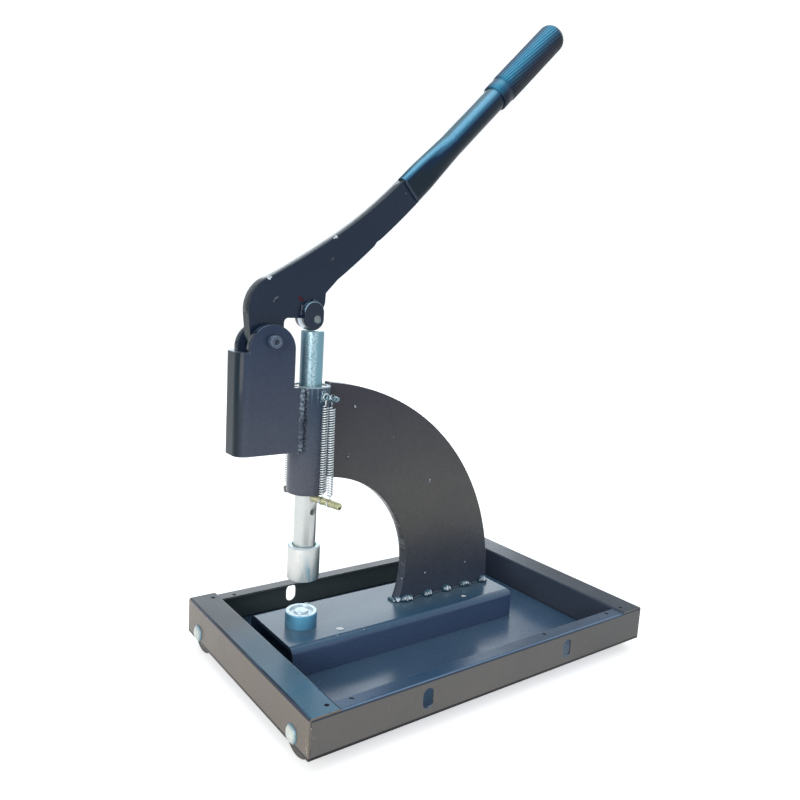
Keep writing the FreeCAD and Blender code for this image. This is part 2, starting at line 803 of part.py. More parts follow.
# ---------------------------------------------------------------- lever
def flattened_width(wall_inset=0.0):
    """Width of the round tube once it is flattened over the lever, inset from its outside."""
    middle_length = math.pi * (handle_diameter - handle_wall)
    middle_thickness = lever_thickness + handle_wall
    middle_width = middle_thickness + (middle_length - math.pi * middle_thickness) / 2
    return middle_width + handle_wall - 2 * wall_inset


def handle_point(distance, across=0.0, side=0.0):
    """A point by distance along the handle, height across it and offset in Y."""
    return handle_origin + handle_direction * distance + handle_across * across + ALONG_Y * side


def obround_wire(distance, width, thickness):
    """A flattened-tube outline across the handle, as two lines and two arcs."""
    radius = thickness / 2
    flat_half = width / 2 - radius
    corners = [handle_point(distance, flat_half, -radius), handle_point(distance, flat_half, radius),
               handle_point(distance, -flat_half, radius),
               handle_point(distance, -flat_half, -radius)]
    top = handle_point(distance, width / 2)
    bottom = handle_point(distance, -width / 2)
    return Part.Wire([arc(corners[0], top, corners[1]), line(corners[1], corners[2]),
                      arc(corners[2], bottom, corners[3]), line(corners[3], corners[0])])


def round_wire(distance, radius):
    """A circle across the handle, in four arcs that match the flattened outline."""
    slant = radius * math.sqrt(0.5)
    corners = [handle_point(distance, slant, -slant), handle_point(distance, slant, slant),
               handle_point(distance, -slant, slant), handle_point(distance, -slant, -slant)]
    middles = [handle_point(distance, radius), handle_point(distance, 0, radius),
               handle_point(distance, -radius), handle_point(distance, 0, -radius)]
    return Part.Wire([arc(corners[0], middles[0], corners[1]), arc(corners[1], middles[1], corners[2]),
                      arc(corners[2], middles[2], corners[3]), arc(corners[3], middles[3], corners[0])])


def lever_outline():
    """Edges of the lever plate, from the eye round the head, along the top and back."""
    eye = flat(pivot_x, pivot_z)
    head = from_pivot(lever_head_centre)
    start = from_pivot(lever_top_start)
    head_start = head + (start - head).normalize() * lever_head_radius
    line_of_centres = math.degrees(math.atan2(head.z - eye.z, head.x - eye.x))
    lean = math.degrees(math.acos((lever_eye_radius - lever_head_radius) / (head - eye).Length))
    left_tangent = line_of_centres + lean
    eye_left = on_circle(eye, lever_eye_radius, left_tangent)
    head_left = on_circle(head, lever_head_radius, left_tangent)
    start_angle = math.degrees(math.atan2(start.z - head.z, start.x - head.x))
    head_middle = on_circle(head, lever_head_radius, (left_tangent + start_angle) / 2)
    mouth = handle_point(handle_mouth) - ALONG_Y * machine_y
    half = flattened_width(handle_wall) / 2
    top_end = mouth + handle_across * half
    foot_end = mouth - handle_across * half
    notch_left = pivot_x + lever_notch_left
    notch_top = pivot_z + lever_notch_top
    notch_inner = flat(notch_left + lever_notch_round, notch_top)
    notch_outer = flat(notch_left, notch_top - lever_notch_round)
    notch_middle = on_circle(flat(notch_inner.x, notch_outer.z), lever_notch_round, 135)
    pin = flat(roller_x, roller_z)
    pocket = roller_radius + lever_pocket_clearance
    pocket_left = math.degrees(math.asin((notch_top - pin.z) / pocket))
    pocket_start = on_circle(pin, pocket, 180 - pocket_left)
    pocket_middle = on_circle(pin, pocket, (180 - pocket_left + lever_pocket_exit_angle) / 2)
    pocket_end = on_circle(pin, pocket, lever_pocket_exit_angle)
    eye_right_angle = math.degrees(math.acos(lever_notch_left / lever_eye_radius))
    eye_right = on_circle(eye, lever_eye_radius, eye_right_angle)
    eye_bottom = on_circle(eye, lever_eye_radius, (left_tangent + eye_right_angle + 360) / 2)
    return ([line(eye_left, head_left), arc(head_left, head_middle, head_start),
             arc(head_start, from_pivot(lever_top_middle), from_pivot(lever_top_bump)),
             arc(from_pivot(lever_top_bump), from_pivot(lever_top_upper), top_end),
             line(top_end, foot_end),
             arc(foot_end, from_pivot(lever_fore_middle), from_pivot(lever_step_shoulder))]
            + chain([from_pivot(lever_step_shoulder), from_pivot(lever_step_top),
                     from_pivot(lever_step_foot)])
            + [arc(from_pivot(lever_step_foot), from_pivot(lever_back_middle), from_pivot(lever_waist))]
            + chain([from_pivot(lever_waist), from_pivot(lever_heel_top),
                     from_pivot(lever_heel_foot), pocket_end])
            + [arc(pocket_end, pocket_middle, pocket_start), line(pocket_start, notch_inner),
               arc(notch_inner, notch_middle, notch_outer), line(notch_outer, eye_right),
               arc(eye_right, eye_bottom, eye_left)])


def lever_plate():
    """The thick lever with its eye, its roller pocket and a tongue inside the handle tube."""
    plate = plate_in_xz(lever_outline(), machine_y, lever_thickness)
    width = flattened_width(handle_wall) - 2 * tongue_gap
    tongue = Part.Face(obround_wire(handle_mouth - lever_thickness / 2, width,
                                    lever_thickness - 2 * tongue_gap))
    tongue_length = handle_flat_length - tongue_gap
    tongue = tongue.extrude(handle_direction * (tongue_length + lever_thickness / 2))
    bush_hole = rod(pivot_bolt_diameter / 2 + pivot_bush_wall, pivot - ALONG_Y * lever_thickness,
                    pivot + ALONG_Y * lever_thickness)
    return plate.fuse(tongue).cut(bush_hole).removeSplitter()


def fork_foot(side):
    """Middle of the lower round end of one fork plate, seen from the side."""
    set_back = right_fork_set_back if side < 0 else left_fork_set_back
    return flat(roller_x - set_back, roller_z)


def fork_plate(side):
    """One side plate of the roller's fork, upright, with round ends, welded flat on the lever."""
    foot = fork_foot(side)
    head = foot + UP * fork_straight
    edges = [arc(on_circle(foot, fork_radius, 180), on_circle(foot, fork_radius, 270),
                 on_circle(foot, fork_radius, 0)),
             line(on_circle(foot, fork_radius, 0), on_circle(head, fork_radius, 0)),
             arc(on_circle(head, fork_radius, 0), on_circle(head, fork_radius, 90),
                 on_circle(head, fork_radius, 180)),
             line(on_circle(head, fork_radius, 180), on_circle(foot, fork_radius, 180))]
    y_middle = machine_y + side * (lever_thickness + fork_plate_thickness) / 2
    plate = plate_in_xz(edges, y_middle, fork_plate_thickness)
    axis = Vector(roller_x, machine_y, roller_z)
    reach = ALONG_Y * (lever_thickness + fork_plate_thickness)
    return plate.cut(rod(roller_pin_diameter / 2, axis - reach, axis + reach))


def fork_welds(lever, forks):
    """Short beads round the heads of both fork plates."""
    beads = []
    for side, angles in ((-1, right_fork_weld_angles), (1, left_fork_weld_angles)):
        head = fork_foot(side) + Vector(0, machine_y, fork_straight)
        for degrees in angles:
            spot = on_circle(head, fork_radius, degrees) + ALONG_Y * (side * lever_thickness / 2)
            angle = math.radians(degrees)
            run = Vector(-math.sin(angle), 0, math.cos(angle)) * fork_weld_radius * 2
            pieces = bead(spot - run, spot + run, fork_weld_radius).cut([lever] + forks).Solids
            beads.append(max(pieces, key=lambda piece: piece.Volume))
    return compound(beads)


def roller_pin():
    """The pin through both fork plates."""
    half = lever_thickness / 2 + fork_plate_thickness + roller_pin_proud
    axis = Vector(roller_x, machine_y, roller_z)
    return chamfered_rod(roller_pin_diameter / 2, axis - ALONG_Y * half, axis + ALONG_Y * half,
                         roller_pin_proud)


def ram_roller():
    """The hard roller that pushes on the ram."""
    width = lever_thickness - 2 * roller_side_gap
    start = Vector(roller_x, machine_y - width / 2, roller_z)
    bore = roller_pin_diameter / 2 + running_gap
    profile = [(bore, 0), (roller_radius - roller_chamfer, 0), (roller_radius, roller_chamfer),
               (roller_radius, width - roller_chamfer), (roller_radius - roller_chamfer, width),
               (bore, width)]
    return turned(profile, start, ALONG_Y)


def handle_form(inset):
    """The handle tube's outside, or its inside when inset by the wall."""
    flat_end = handle_mouth + handle_flat_length
    taper_end = flat_end + handle_taper_length
    start = handle_mouth - (overshoot if inset else 0)
    end = handle_end + (overshoot if inset else 0)
    width = flattened_width(inset)
    thickness = lever_thickness + 2 * (handle_wall - inset)
    radius = handle_diameter / 2 - inset
    mouth = Part.Face(obround_wire(start, width, thickness)).extrude(handle_direction * (flat_end - start))
    taper = Part.makeLoft([obround_wire(flat_end, width, thickness), round_wire(taper_end, radius)],
                          True)
    barrel = Part.makeCylinder(radius, end - taper_end, handle_point(taper_end), handle_direction)
    return mouth.fuse([taper, barrel])


def handle_tube():
    """The round tube, flattened over the lever's end."""
    return handle_form(0).cut(handle_form(handle_wall)).removeSplitter()


def handle_welds(lever):
    """Beads across both faces of the lever at the tube's mouth."""
    half = flattened_width() / 2 - lever_thickness / 2
    behind = Part.Face(obround_wire(handle_mouth, 2 * flattened_width(), 2 * lever_thickness))
    behind = behind.extrude(handle_direction * lever_thickness)
    beads = []
    for side in (-1, 1):
        y = side * lever_thickness / 2
        shape = bead(handle_point(handle_mouth, -half, y), handle_point(handle_mouth, half, y),
                     handle_weld_radius)
        beads.append(shape.cut([lever, behind]))
    return compound(beads)


def hand_grip():
    """A moulded grip with lengthwise flutes, a plain collar and a domed end."""
    bore = handle_diameter / 2
    radius = grip_diameter / 2
    collar = grip_collar_diameter / 2
    length = grip_tip - grip_start
    body = length - grip_dome_length
    step = radius - collar
    edges = chain([flat(bore, 0), flat(collar, 0), flat(collar, grip_collar_length),
                   flat(radius, grip_collar_length + step), flat(radius, body)])
    dome_radius = (radius ** 2 + grip_dome_length ** 2) / (2 * grip_dome_length)
    dome_centre = flat(0, length - dome_radius)
    rim_angle = math.degrees(math.asin((dome_radius - grip_dome_length) / dome_radius))
    dome_middle = on_circle(dome_centre, dome_radius, (rim_angle + 90) / 2)
    edges += [arc(flat(radius, body), dome_middle, flat(0, length))]
    edges += chain([flat(0, length), flat(0, handle_end - grip_start), flat(bore, handle_end - grip_start),
                    flat(bore, 0)])
    grip = Part.Face(Part.Wire(edges)).revolve(Vector(0, 0, 0), UP, 360)
    grip = placed(grip, handle_point(grip_start), handle_direction)
    flute_start = grip_start + grip_collar_length + grip_flute_end_margin
    flute_end = grip_start + body - grip_flute_end_margin
    reach = radius + grip_flute_radius - grip_flute_depth
    flutes = []
    for index in range(grip_flute_count):
        angle = 2 * math.pi * index / grip_flute_count
        across, side = reach * math.cos(angle), reach * math.sin(angle)
        flutes.append(bead(handle_point(flute_start, across, side),
                           handle_point(flute_end, across, side), grip_flute_radius))
    return grip.cut(flutes)


# ---------------------------------------------------------------- ram and upper die
def on_ram(distance, z):
    """A point at a distance from the ram's axis along the cross bar."""
    return Vector(ram_x, machine_y, z) + bar_direction * distance


def ram():
    """The round ram with its cross holes."""
    bar = chamfered_rod(ram_radius, Vector(ram_x, machine_y, ram_bottom),
                        Vector(ram_x, machine_y, ram_top), ram_chamfer)
    cross = rod(cross_bar_diameter / 2, on_ram(-ram_diameter, cross_bar_z),
                on_ram(ram_diameter, cross_bar_z))
    spare_z = upper_die_top + ram_hole_above_die
    spare = rod(ram_hole_diameter / 2, on_ram(-ram_diameter, spare_z), on_ram(ram_diameter, spare_z))
    return bar.cut([cross, spare])


def upper_die():
    """The punch die: a turned cup on the ram's lower end, relieved round the ram at its top."""
    radius = upper_die_diameter / 2
    socket = upper_die_height - upper_die_socket_depth
    boss = upper_die_boss_diameter / 2
    inner = ram_radius + running_gap
    relief = inner + upper_die_relief_width
    relief_floor = upper_die_height - upper_die_relief_depth
    profile = [(0, upper_die_boss_recess), (boss, upper_die_boss_recess),
               (boss + upper_die_boss_recess, 0), (radius - upper_die_chamfer, 0),
               (radius, upper_die_chamfer), (radius, upper_die_height - upper_die_chamfer),
               (radius - upper_die_chamfer, upper_die_height), (relief, upper_die_height),
               (relief, relief_floor), (inner, relief_floor), (inner, socket), (0, socket)]
    die = turned(profile, Vector(ram_x, machine_y, upper_die_bottom), UP)
    return die.cut(set_screw_envelope())


def set_screw_envelope():
    """The threaded hole of the die's set screw, on the side towards the column."""
    axis = Vector(ram_x, machine_y, upper_die_top - set_screw_from_top)
    return rod(set_screw_diameter / 2, axis, axis + ALONG_X * upper_die_diameter)


def set_screw():
    """A grub screw that holds the die on the ram."""
    axis = Vector(ram_x, machine_y, upper_die_top - set_screw_from_top)
    end = axis + ALONG_X * (upper_die_diameter / 2 - set_screw_sunk)
    screw = rod(set_screw_diameter / 2, axis, end)
    socket = hexagon_bar(set_screw_diameter / 2, end - ALONG_X * set_screw_diameter / 3, ALONG_X,
                         set_screw_diameter)
    ram_bar = rod(ram_radius, axis - UP * set_screw_diameter, axis + UP * set_screw_diameter)
    return screw.cut([socket, ram_bar])


# ---------------------------------------------------------------- cross bar, studs and springs
def grooved_bar(diameter, near, far, z, hook_places):
    """A round bar along the yawed direction with a turned groove at each spring hook."""
    radius = diameter / 2
    chamfer = hook_groove_depth
    floor = radius - hook_groove_depth
    half = spring_wire / 2 + hook_gap
    profile = [(0, 0), (radius - chamfer, 0), (radius, chamfer)]
    for place in sorted(hook_places):
        middle = place - near
        profile += [(radius, middle - half - hook_groove_depth), (floor, middle - half),
                    (floor, middle + half), (radius, middle + half + hook_groove_depth)]
    length = far - near
    profile += [(radius, length - chamfer), (radius - chamfer, length), (0, length)]
    return turned(profile, on_ram(near, z), bar_direction)


def spring_cross_bar():
    """The bar through the ram that the springs pull on."""
    return grooved_bar(cross_bar_diameter, -cross_bar_far_reach, cross_bar_near_reach, cross_bar_z,
                       [-spring_far, spring_near_inner, spring_near_outer])


def spring_stud(reach, hook_places, side, tube_envelope):
    """A stud welded to the guide tube near its top; side is +1 for the right one."""
    near, far = sorted((side * ram_radius, side * reach))
    bar = grooved_bar(stud_diameter, near, far, stud_z, hook_places)
    return bar.cut(tube_envelope)


def hook_radius(bar_diameter):
    """Centre-line radius of a hook that sits in the groove of a bar."""
    return bar_diameter / 2 - hook_groove_depth + hook_gap + spring_wire / 2


def return_spring(distance):
    """An extension spring: a ribbed body of close turns and a round hook at each end."""
    wire = spring_wire / 2
    body_bottom = cross_bar_z + spring_lower_hook
    body_top = stud_z - spring_upper_hook
    pitch = (body_top - body_bottom) / spring_turns
    radius = spring_diameter / 2
    valley = radius - spring_wire / 2
    edges = []
    for turn in range(spring_turns):
        bottom = turn * pitch
        edges += [arc(flat(valley, bottom), flat(radius, bottom + pitch / 2),
                      flat(valley, bottom + pitch))]
    length = body_top - body_bottom
    edges += chain([flat(valley, length), flat(0, length), flat(0, 0), flat(valley, 0)])
    body = Part.Face(Part.Wire(edges)).revolve(Vector(0, 0, 0), UP, 360)
    body.translate(on_ram(distance, body_bottom))
    hooks = []
    for bar_z, bar_diameter, body_z, way in ((cross_bar_z, cross_bar_diameter, body_bottom, 1),
                                             (stud_z, stud_diameter, body_top, -1)):
        eye = hook_radius(bar_diameter)
        loop = Part.makeTorus(eye, wire, on_ram(distance, bar_z), bar_direction)
        neck = rod(wire, on_ram(distance, bar_z + way * eye), on_ram(distance, body_z + way * wire))
        hooks += [loop, neck]
    return body.fuse(hooks)


# ---------------------------------------------------------------- assembly
def build_tray():
    feet = foot_places()
    names = ["front_right_foot", "front_left_foot", "rear_right_foot", "rear_left_foot"]
    nodes = {name: round_foot(*place) for name, place in zip(names, feet)}
    end_rails = [end_rail(end) for end in (-1, 1)]
    nodes["front_end_rail"], nodes["rear_end_rail"] = end_rails
    nodes["right_side_rail"] = side_rail(-1, end_rails)
    nodes["left_side_rail"] = side_rail(1, end_rails)
    nodes["tray_floor"] = tray_floor()
    nodes["foot_bolts"] = compound([foot_bolt(*place) for place in feet])
    nodes["foot_spacers"] = compound([foot_spacer(*place) for place in feet])
    nodes["foot_washers"] = compound([foot_washer(*place) for place in feet])
    nodes["foot_nuts"] = compound([foot_nut(*place) for place in feet])
    return nodes


def build_frame():
    nodes = {}
    tube_envelope = rod(tube_radius, Vector(ram_x, machine_y, tube_bottom - tube_length),
                        Vector(ram_x, machine_y, tube_top + tube_length))
    channel = plinth_channel()
    plate = column_plate(tube_envelope)
    tube = guide_tube()
    bracket = fulcrum_bracket()
    nodes["plinth_channel"] = channel
    nodes["plinth_welds"] = plinth_welds(channel)
    nodes["lower_die"] = lower_die()
    nodes["lower_die_nut"] = lower_die_nut()
    nodes["column_plate"] = plate
    nodes["column_welds"] = column_welds(plate, channel)
    nodes["guide_tube"] = tube
    nodes["lower_guide_bush"] = guide_bush(tube_bottom + bush_set_back)
    nodes["upper_guide_bush"] = guide_bush(tube_top - bush_set_back - bush_length)
    nodes["tube_welds"] = tube_welds(tube, plate)
    nodes["fulcrum_bracket"] = bracket
    nodes["bracket_welds"] = bracket_welds(bracket, tube)
    nodes["pivot_bolt"] = pivot_bolt()
    nodes["pivot_nut"] = pivot_nut()
    nodes["pivot_spacers"] = compound([pivot_spacer(side) for side in (-1, 1)])
    nodes["right_spring_stud"] = spring_stud(stud_near_reach, [spring_near_inner, spring_near_outer],
                                             1, tube_envelope)
    nodes["left_spring_stud"] = spring_stud(stud_far_reach, [-spring_far], -1, tube_envelope)
    return nodes


def build_lever():
    nodes = {}
    lever = lever_plate()
    forks = [fork_plate(side) for side in (-1, 1)]
    nodes["lever_plate"] = lever
    nodes["pivot_bush"] = pivot_bush()
    nodes["right_fork_plate"], nodes["left_fork_plate"] = forks
    nodes["fork_welds"] = fork_welds(lever, forks)
    nodes["roller_pin"] = roller_pin()
    nodes["ram_roller"] = ram_roller()
    nodes["handle_tube"] = handle_tube()
    nodes["handle_welds"] = handle_welds(lever)
    nodes["hand_grip"] = hand_grip()
    return nodes


def build_ram():
    nodes = {}
    nodes["ram"] = ram()
    nodes["upper_die"] = upper_die()
    nodes["die_set_screw"] = set_screw()
    nodes["spring_cross_bar"] = spring_cross_bar()
    nodes["right_inner_spring"] = return_spring(spring_near_inner)
    nodes["right_outer_spring"] = return_spring(spring_near_outer)
    nodes["left_spring"] = return_spring(-spring_far)
    return nodes


def write_parts(nodes):
    os.makedirs("parts", exist_ok=True)
    for name, shape in nodes.items():
        shape.exportStep(os.path.join("parts", name + ".step"))
        print(name, len(shape.Solids), shape.isValid(), round(shape.Volume, 1))


all_nodes = build_tray()
all_nodes.update(build_frame())
all_nodes.update(build_lever())
all_nodes.update(build_ram())
write_parts(all_nodes)
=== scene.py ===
import json
import random
from math import atan2, cos, pi, radians, sin, sqrt

import bmesh
import bpy
from mathutils import Matrix, Vector, noise


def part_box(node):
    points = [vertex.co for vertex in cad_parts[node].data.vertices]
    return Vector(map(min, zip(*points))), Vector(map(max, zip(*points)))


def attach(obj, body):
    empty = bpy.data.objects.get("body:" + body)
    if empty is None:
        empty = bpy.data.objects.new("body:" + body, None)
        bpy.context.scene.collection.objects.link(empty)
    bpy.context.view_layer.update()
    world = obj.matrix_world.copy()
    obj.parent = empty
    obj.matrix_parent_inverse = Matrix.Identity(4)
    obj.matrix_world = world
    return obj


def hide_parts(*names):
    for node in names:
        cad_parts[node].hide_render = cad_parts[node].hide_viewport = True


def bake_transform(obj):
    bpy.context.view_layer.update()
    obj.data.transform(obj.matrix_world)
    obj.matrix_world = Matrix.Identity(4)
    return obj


# Looks of an eyelet press in a tray. Metres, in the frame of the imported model: +Z up, the punch
# end towards -X, the right side towards -Y. In a look, a colour of three numbers is in display
# values, 0 to 255; a colour of four is in linear light.

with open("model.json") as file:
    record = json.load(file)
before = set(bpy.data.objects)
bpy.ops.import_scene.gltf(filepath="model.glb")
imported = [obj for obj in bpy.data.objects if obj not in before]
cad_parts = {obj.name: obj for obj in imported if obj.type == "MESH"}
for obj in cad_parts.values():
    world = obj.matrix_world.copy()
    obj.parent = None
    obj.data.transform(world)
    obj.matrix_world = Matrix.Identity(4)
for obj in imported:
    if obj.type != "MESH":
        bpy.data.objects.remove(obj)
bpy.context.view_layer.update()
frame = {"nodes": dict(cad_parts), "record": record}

MM = 0.001
UP = Vector((0, 0, 1))
ALONG_X = Vector((1, 0, 0))
ALONG_Y = Vector((0, 1, 0))
SAME_PLACE = 0.002 * MM
random.seed(7)


# ---- places, read from the frame
def middle(node):
    """The middle of a node's box."""
    low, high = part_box(node)
    return (low + high) / 2


def top(node):
    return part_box(node)[1].z


def bottom(node):
    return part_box(node)[0].z


def half_width(node):
    """Half of a node's size along X."""
    low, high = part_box(node)
    return (high.x - low.x) / 2


ram_axis = Vector((middle("ram").x, middle("ram").y, 0))
tube_radius = half_width("guide_tube")
plinth_top = top("plinth_channel")
pivot = Vector((middle("pivot_bolt").x, ram_axis.y, middle("pivot_bolt").z))
column_half = (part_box("column_plate")[1].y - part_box("column_plate")[0].y) / 2
tray_low, tray_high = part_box("front_end_rail")[0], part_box("rear_end_rail")[1]

bar_yaw = radians(12)
bar_direction = Vector((sin(bar_yaw), -cos(bar_yaw), 0))
bar_sideways = UP.cross(bar_direction)
bar_height = middle("spring_cross_bar").z
stud_height = middle("right_spring_stud").z
# Each spring's distance from the ram's axis, at the cross bar and at the stud.
spring_places = {"right_inner_spring": (25.8 * MM, 25.6 * MM),
                 "right_outer_spring": (38.2 * MM, 35.6 * MM),
                 "left_spring": (-33.6 * MM, -33.6 * MM)}
thread_pitch = 1.75 * MM

handle_turn = radians(45.2)
handle_direction = Vector((cos(handle_turn), 0, sin(handle_turn)))
handle_across = Vector((-sin(handle_turn), 0, cos(handle_turn)))
handle_below_pivot = 2.4 * MM


def on_bar(distance, height):
    """A point above or below the cross bar, by distance from the ram's axis."""
    return ram_axis + bar_direction * distance + UP * height


def on_handle(distance):
    """A point on the handle's axis, by distance from the pivot."""
    return pivot - handle_across * handle_below_pivot + handle_direction * distance


def on_spring(name, height):
    """A point on a spring's middle line, which may lean a little."""
    lower, upper = spring_places[name]
    share = (height - bar_height) / (stud_height - bar_height)
    return on_bar(lower + (upper - lower) * share, height)


# ---- mesh helpers
class Shape:
    """Points and faces, gathered for one piece."""

    def __init__(self):
        self.vertices = []
        self.faces = []


def with_settings(thing, **settings):
    """The thing, with these attributes set."""
    for key, value in settings.items():
        setattr(thing, key, value)
    return thing


def new_object(name, data):
    """An object in the scene that holds a mesh, a light or a camera."""
    holder = bpy.data.objects.new(name, data)
    bpy.context.scene.collection.objects.link(holder)
    return holder


def new_piece(name, vertices, faces):
    """A smooth-shaded mesh object from points and faces."""
    mesh = bpy.data.meshes.new(name)
    mesh.from_pydata([tuple(v) for v in vertices], [], faces)
    mesh.polygons.foreach_set("use_smooth", [True] * len(mesh.polygons))
    mesh.update()
    return new_object(name, mesh)


def skin(rings, shape):
    """Add a closed surface through rings of equal length, with a point at each end's middle."""
    vertices, faces = shape.vertices, shape.faces
    count = len(rings[0])
    start = len(vertices)
    for ring in rings:
        vertices.extend(ring)
    for row in range(len(rings) - 1):
        for step in range(count):
            after = (step + 1) % count
            a = start + row * count
            b = a + count
            faces.append((a + step, a + after, b + after, b + step))
    first = len(vertices)
    vertices.append(sum(rings[0], Vector()) / count)
    vertices.append(sum(rings[-1], Vector()) / count)
    last_row = start + (len(rings) - 1) * count
    for step in range(count):
        after = (step + 1) % count
        faces.append((first, start + after, start + step))
        faces.append((first + 1, last_row + step, last_row + after))


def transported_frames(points):
    """Two unit vectors across the path at each point, turned as little as possible."""
    tangents = []
    for index in range(len(points)):
        before = points[max(index - 1, 0)]
        after = points[min(index + 1, len(points) - 1)]
        tangents.append((after - before).normalized())
    across = tangents[0].orthogonal().normalized()
    frames = []
    for tangent in tangents:
        across = (across - tangent * across.dot(tangent)).normalized()
        frames.append((across, tangent.cross(across)))
    return frames


def spokes(side, rise, count):
    """Unit vectors evenly round a circle, from side by way of rise."""
    angles = [2 * pi * step / count for step in range(count)]
    return [side * cos(angle) + rise * sin(angle) for angle in angles]


def wire(points, radius, sides, shape):
    """Add a round wire that follows a path."""
    rings = []
    for point, (side, rise) in zip(points, transported_frames(points)):
        rings.append([point + spoke * radius for spoke in spokes(side, rise, sides)])
    skin(rings, shape)


# ---- material helpers
def colour(red, green, blue):
    """Linear light from display values, 0 to 255."""
    def linear(value):
        share = value / 255
        return share / 12.92 if share <= 0.04045 else ((share + 0.055) / 1.055) ** 2.4
    return (linear(red), linear(green), linear(blue), 1)


def scaled(tone, factor, lift=0):
    """A display colour made darker or lighter, in linear light."""
    return tuple(min(1, share * factor + lift) for share in colour(*tone)[:3]) + (1,)


class Look:
    """A material or a world, with short calls that add nodes to it."""

    def __init__(self, holder, shader="Principled BSDF"):
        holder.use_nodes = True
        self.tree = holder.node_tree
        self.shader = self.tree.nodes[shader]
        self.place = self.add("ShaderNodeTexCoord").outputs["Object"]

    def feed(self, socket, value):
        """Link an output to a socket, or set a plain value on it."""
        if isinstance(value, bpy.types.NodeSocket):
            self.tree.links.new(value, socket)
        elif socket.type == "RGBA" and len(value) == 3:
            socket.default_value = colour(*value)
        else:
            socket.default_value = value

    def add(self, kind, inputs=None, **settings):
        """Add a node with its settings, and feed its inputs, by name or number."""
        node = with_settings(self.tree.nodes.new(kind), **settings)
        for key, value in (inputs or {}).items():
            self.feed(node.inputs[key], value)
        return node

    def set(self, **sockets):
        """Set the shader's sockets, with underscores for spaces in their names."""
        for key, value in sockets.items():
            self.feed(self.shader.inputs[key.replace("_", " ")], value)

    def bump(self, height, distance):
        node = self.add("ShaderNodeBump", {"Height": height, "Distance": distance})
        self.set(Normal=node.outputs["Normal"])

    def at(self, axis):
        """One part of the place: X, Y or Z."""
        return self.add("ShaderNodeSeparateXYZ", {0: self.place}).outputs[axis]

    def stretched(self, scale):
        """Object coordinates, scaled apart along X, Y and Z."""
        node = self.add("ShaderNodeMapping", {"Vector": self.place, "Scale": scale})
        return node.outputs["Vector"]

    def noise(self, scale, detail=3, roughness=0.55, distortion=0):
        """Noise of one scale, or of three that pull it apart along X, Y and Z."""
        place = self.place
        if isinstance(scale, tuple):
            place, scale = self.stretched(scale), 1
        inputs = {"Vector": place, "Scale": scale, "Detail": detail, "Roughness": roughness,
                  "Distortion": distortion}
        return self.add("ShaderNodeTexNoise", inputs).outputs["Fac"]

    def cells(self, scale):
        """Distance to the nearest of many scattered points."""
        node = self.add("ShaderNodeTexVoronoi", {"Vector": self.place, "Scale": scale})
        return node.outputs["Distance"]

    def span(self, value, low, high, to_low=0, to_high=1):
        """Stretch a value from one range to another, held inside the new one."""
        inputs = {"Value": value, "From Min": low, "From Max": high, "To Min": to_low,
                  "To Max": to_high}
        return self.add("ShaderNodeMapRange", inputs, clamp=True).outputs["Result"]

    def maths(self, operation, first, second=0):
        return self.add("ShaderNodeMath", {0: first, 1: second}, operation=operation).outputs[0]

    def times(self, first, second):
        return self.maths("MULTIPLY", first, second)

    def plus(self, first, second):
        return self.maths("ADD", first, second)

    def minus(self, first, second):
        return self.maths("SUBTRACT", first, second)

    def absolute(self, value):
        return self.maths("ABSOLUTE", value)

    def saw(self, turns):
        """1 at whole turns, down to 0 half-way between them."""
        share = self.maths("FRACT", turns)
        return self.absolute(self.minus(self.times(share, 2), 1))

    def mix(self, factor, first, second, blend="MIX"):
        """Mix two colours."""
        node = self.add("ShaderNodeMix", {"Factor": factor}, data_type="RGBA", blend_type=blend)
        first_socket, second_socket = [socket for socket in node.inputs if socket.type == "RGBA"]
        self.feed(first_socket, first)
        self.feed(second_socket, second)
        return [socket for socket in node.outputs if socket.type == "RGBA"][0]

    def lay(self, body, tone, value, low, high, most=1):
        """Lay a second colour over the first, more and more as a value goes from low to high."""
        return self.mix(self.span(value, low, high, 0, most), body, tone)

    def vector_maths(self, operation, first, second=(0, 0, 0), output="Vector"):
        node = self.add("ShaderNodeVectorMath", {0: first, 1: second}, operation=operation)
        return node.outputs[output]

    def dot(self, first, second):
        return self.vector_maths("DOT_PRODUCT", first, second, "Value")

    def from_axis(self, centre):
        """The level part of the offset from an upright axis."""
        level = self.stretched((1, 1, 0))
        return self.vector_maths("SUBTRACT", level, (centre.x, centre.y, 0))

    def turned_to(self, direction):
        """How far the surface points along one of the piece's own directions, -1 to 1."""
        return self.dot(self.add("ShaderNodeTexCoord").outputs["Normal"], direction)

    def turned_out(self, centre):
        """How far the surface points away from an upright axis, -1 to 1."""
        return self.turned_to(self.vector_maths("NORMALIZE", self.from_axis(centre)))

    def facing_up(self):
        """1 where the surface faces up, 0 on sides and below."""
        return self.span(self.turned_to(UP), 0.45, 0.95)

    def edges(self, radius):
        """Near 1 on sharp outer and inner edges, 0 on flats."""
        rounded = self.add("ShaderNodeBevel", {"Radius": radius}, samples=4).outputs["Normal"]
        plain = self.add("ShaderNodeNewGeometry").outputs["Normal"]
        return self.span(self.dot(rounded, plain), 0.995, 0.93)

    def plate_rims(self):
        """1 on the upper roundings between an upright plate's faces and its cut edge."""
        side = self.absolute(self.turned_to(ALONG_Y))
        rounding = self.times(self.span(side, 0.98, 0.9), self.span(side, 0.05, 0.25))
        return self.times(rounding, self.span(self.turned_to(UP), 0.08, 0.25))


# ---- materials
# The direction by which painted reflections and shade are laid on the ram and the dies.
RIGHTWARD = (0.87, -0.5, 0)
PALE = (178, 190, 200)
DARKER_METAL = (0.5, 0.55, 0.6, 1)
EDGE_WIDTH = 0.7 * MM


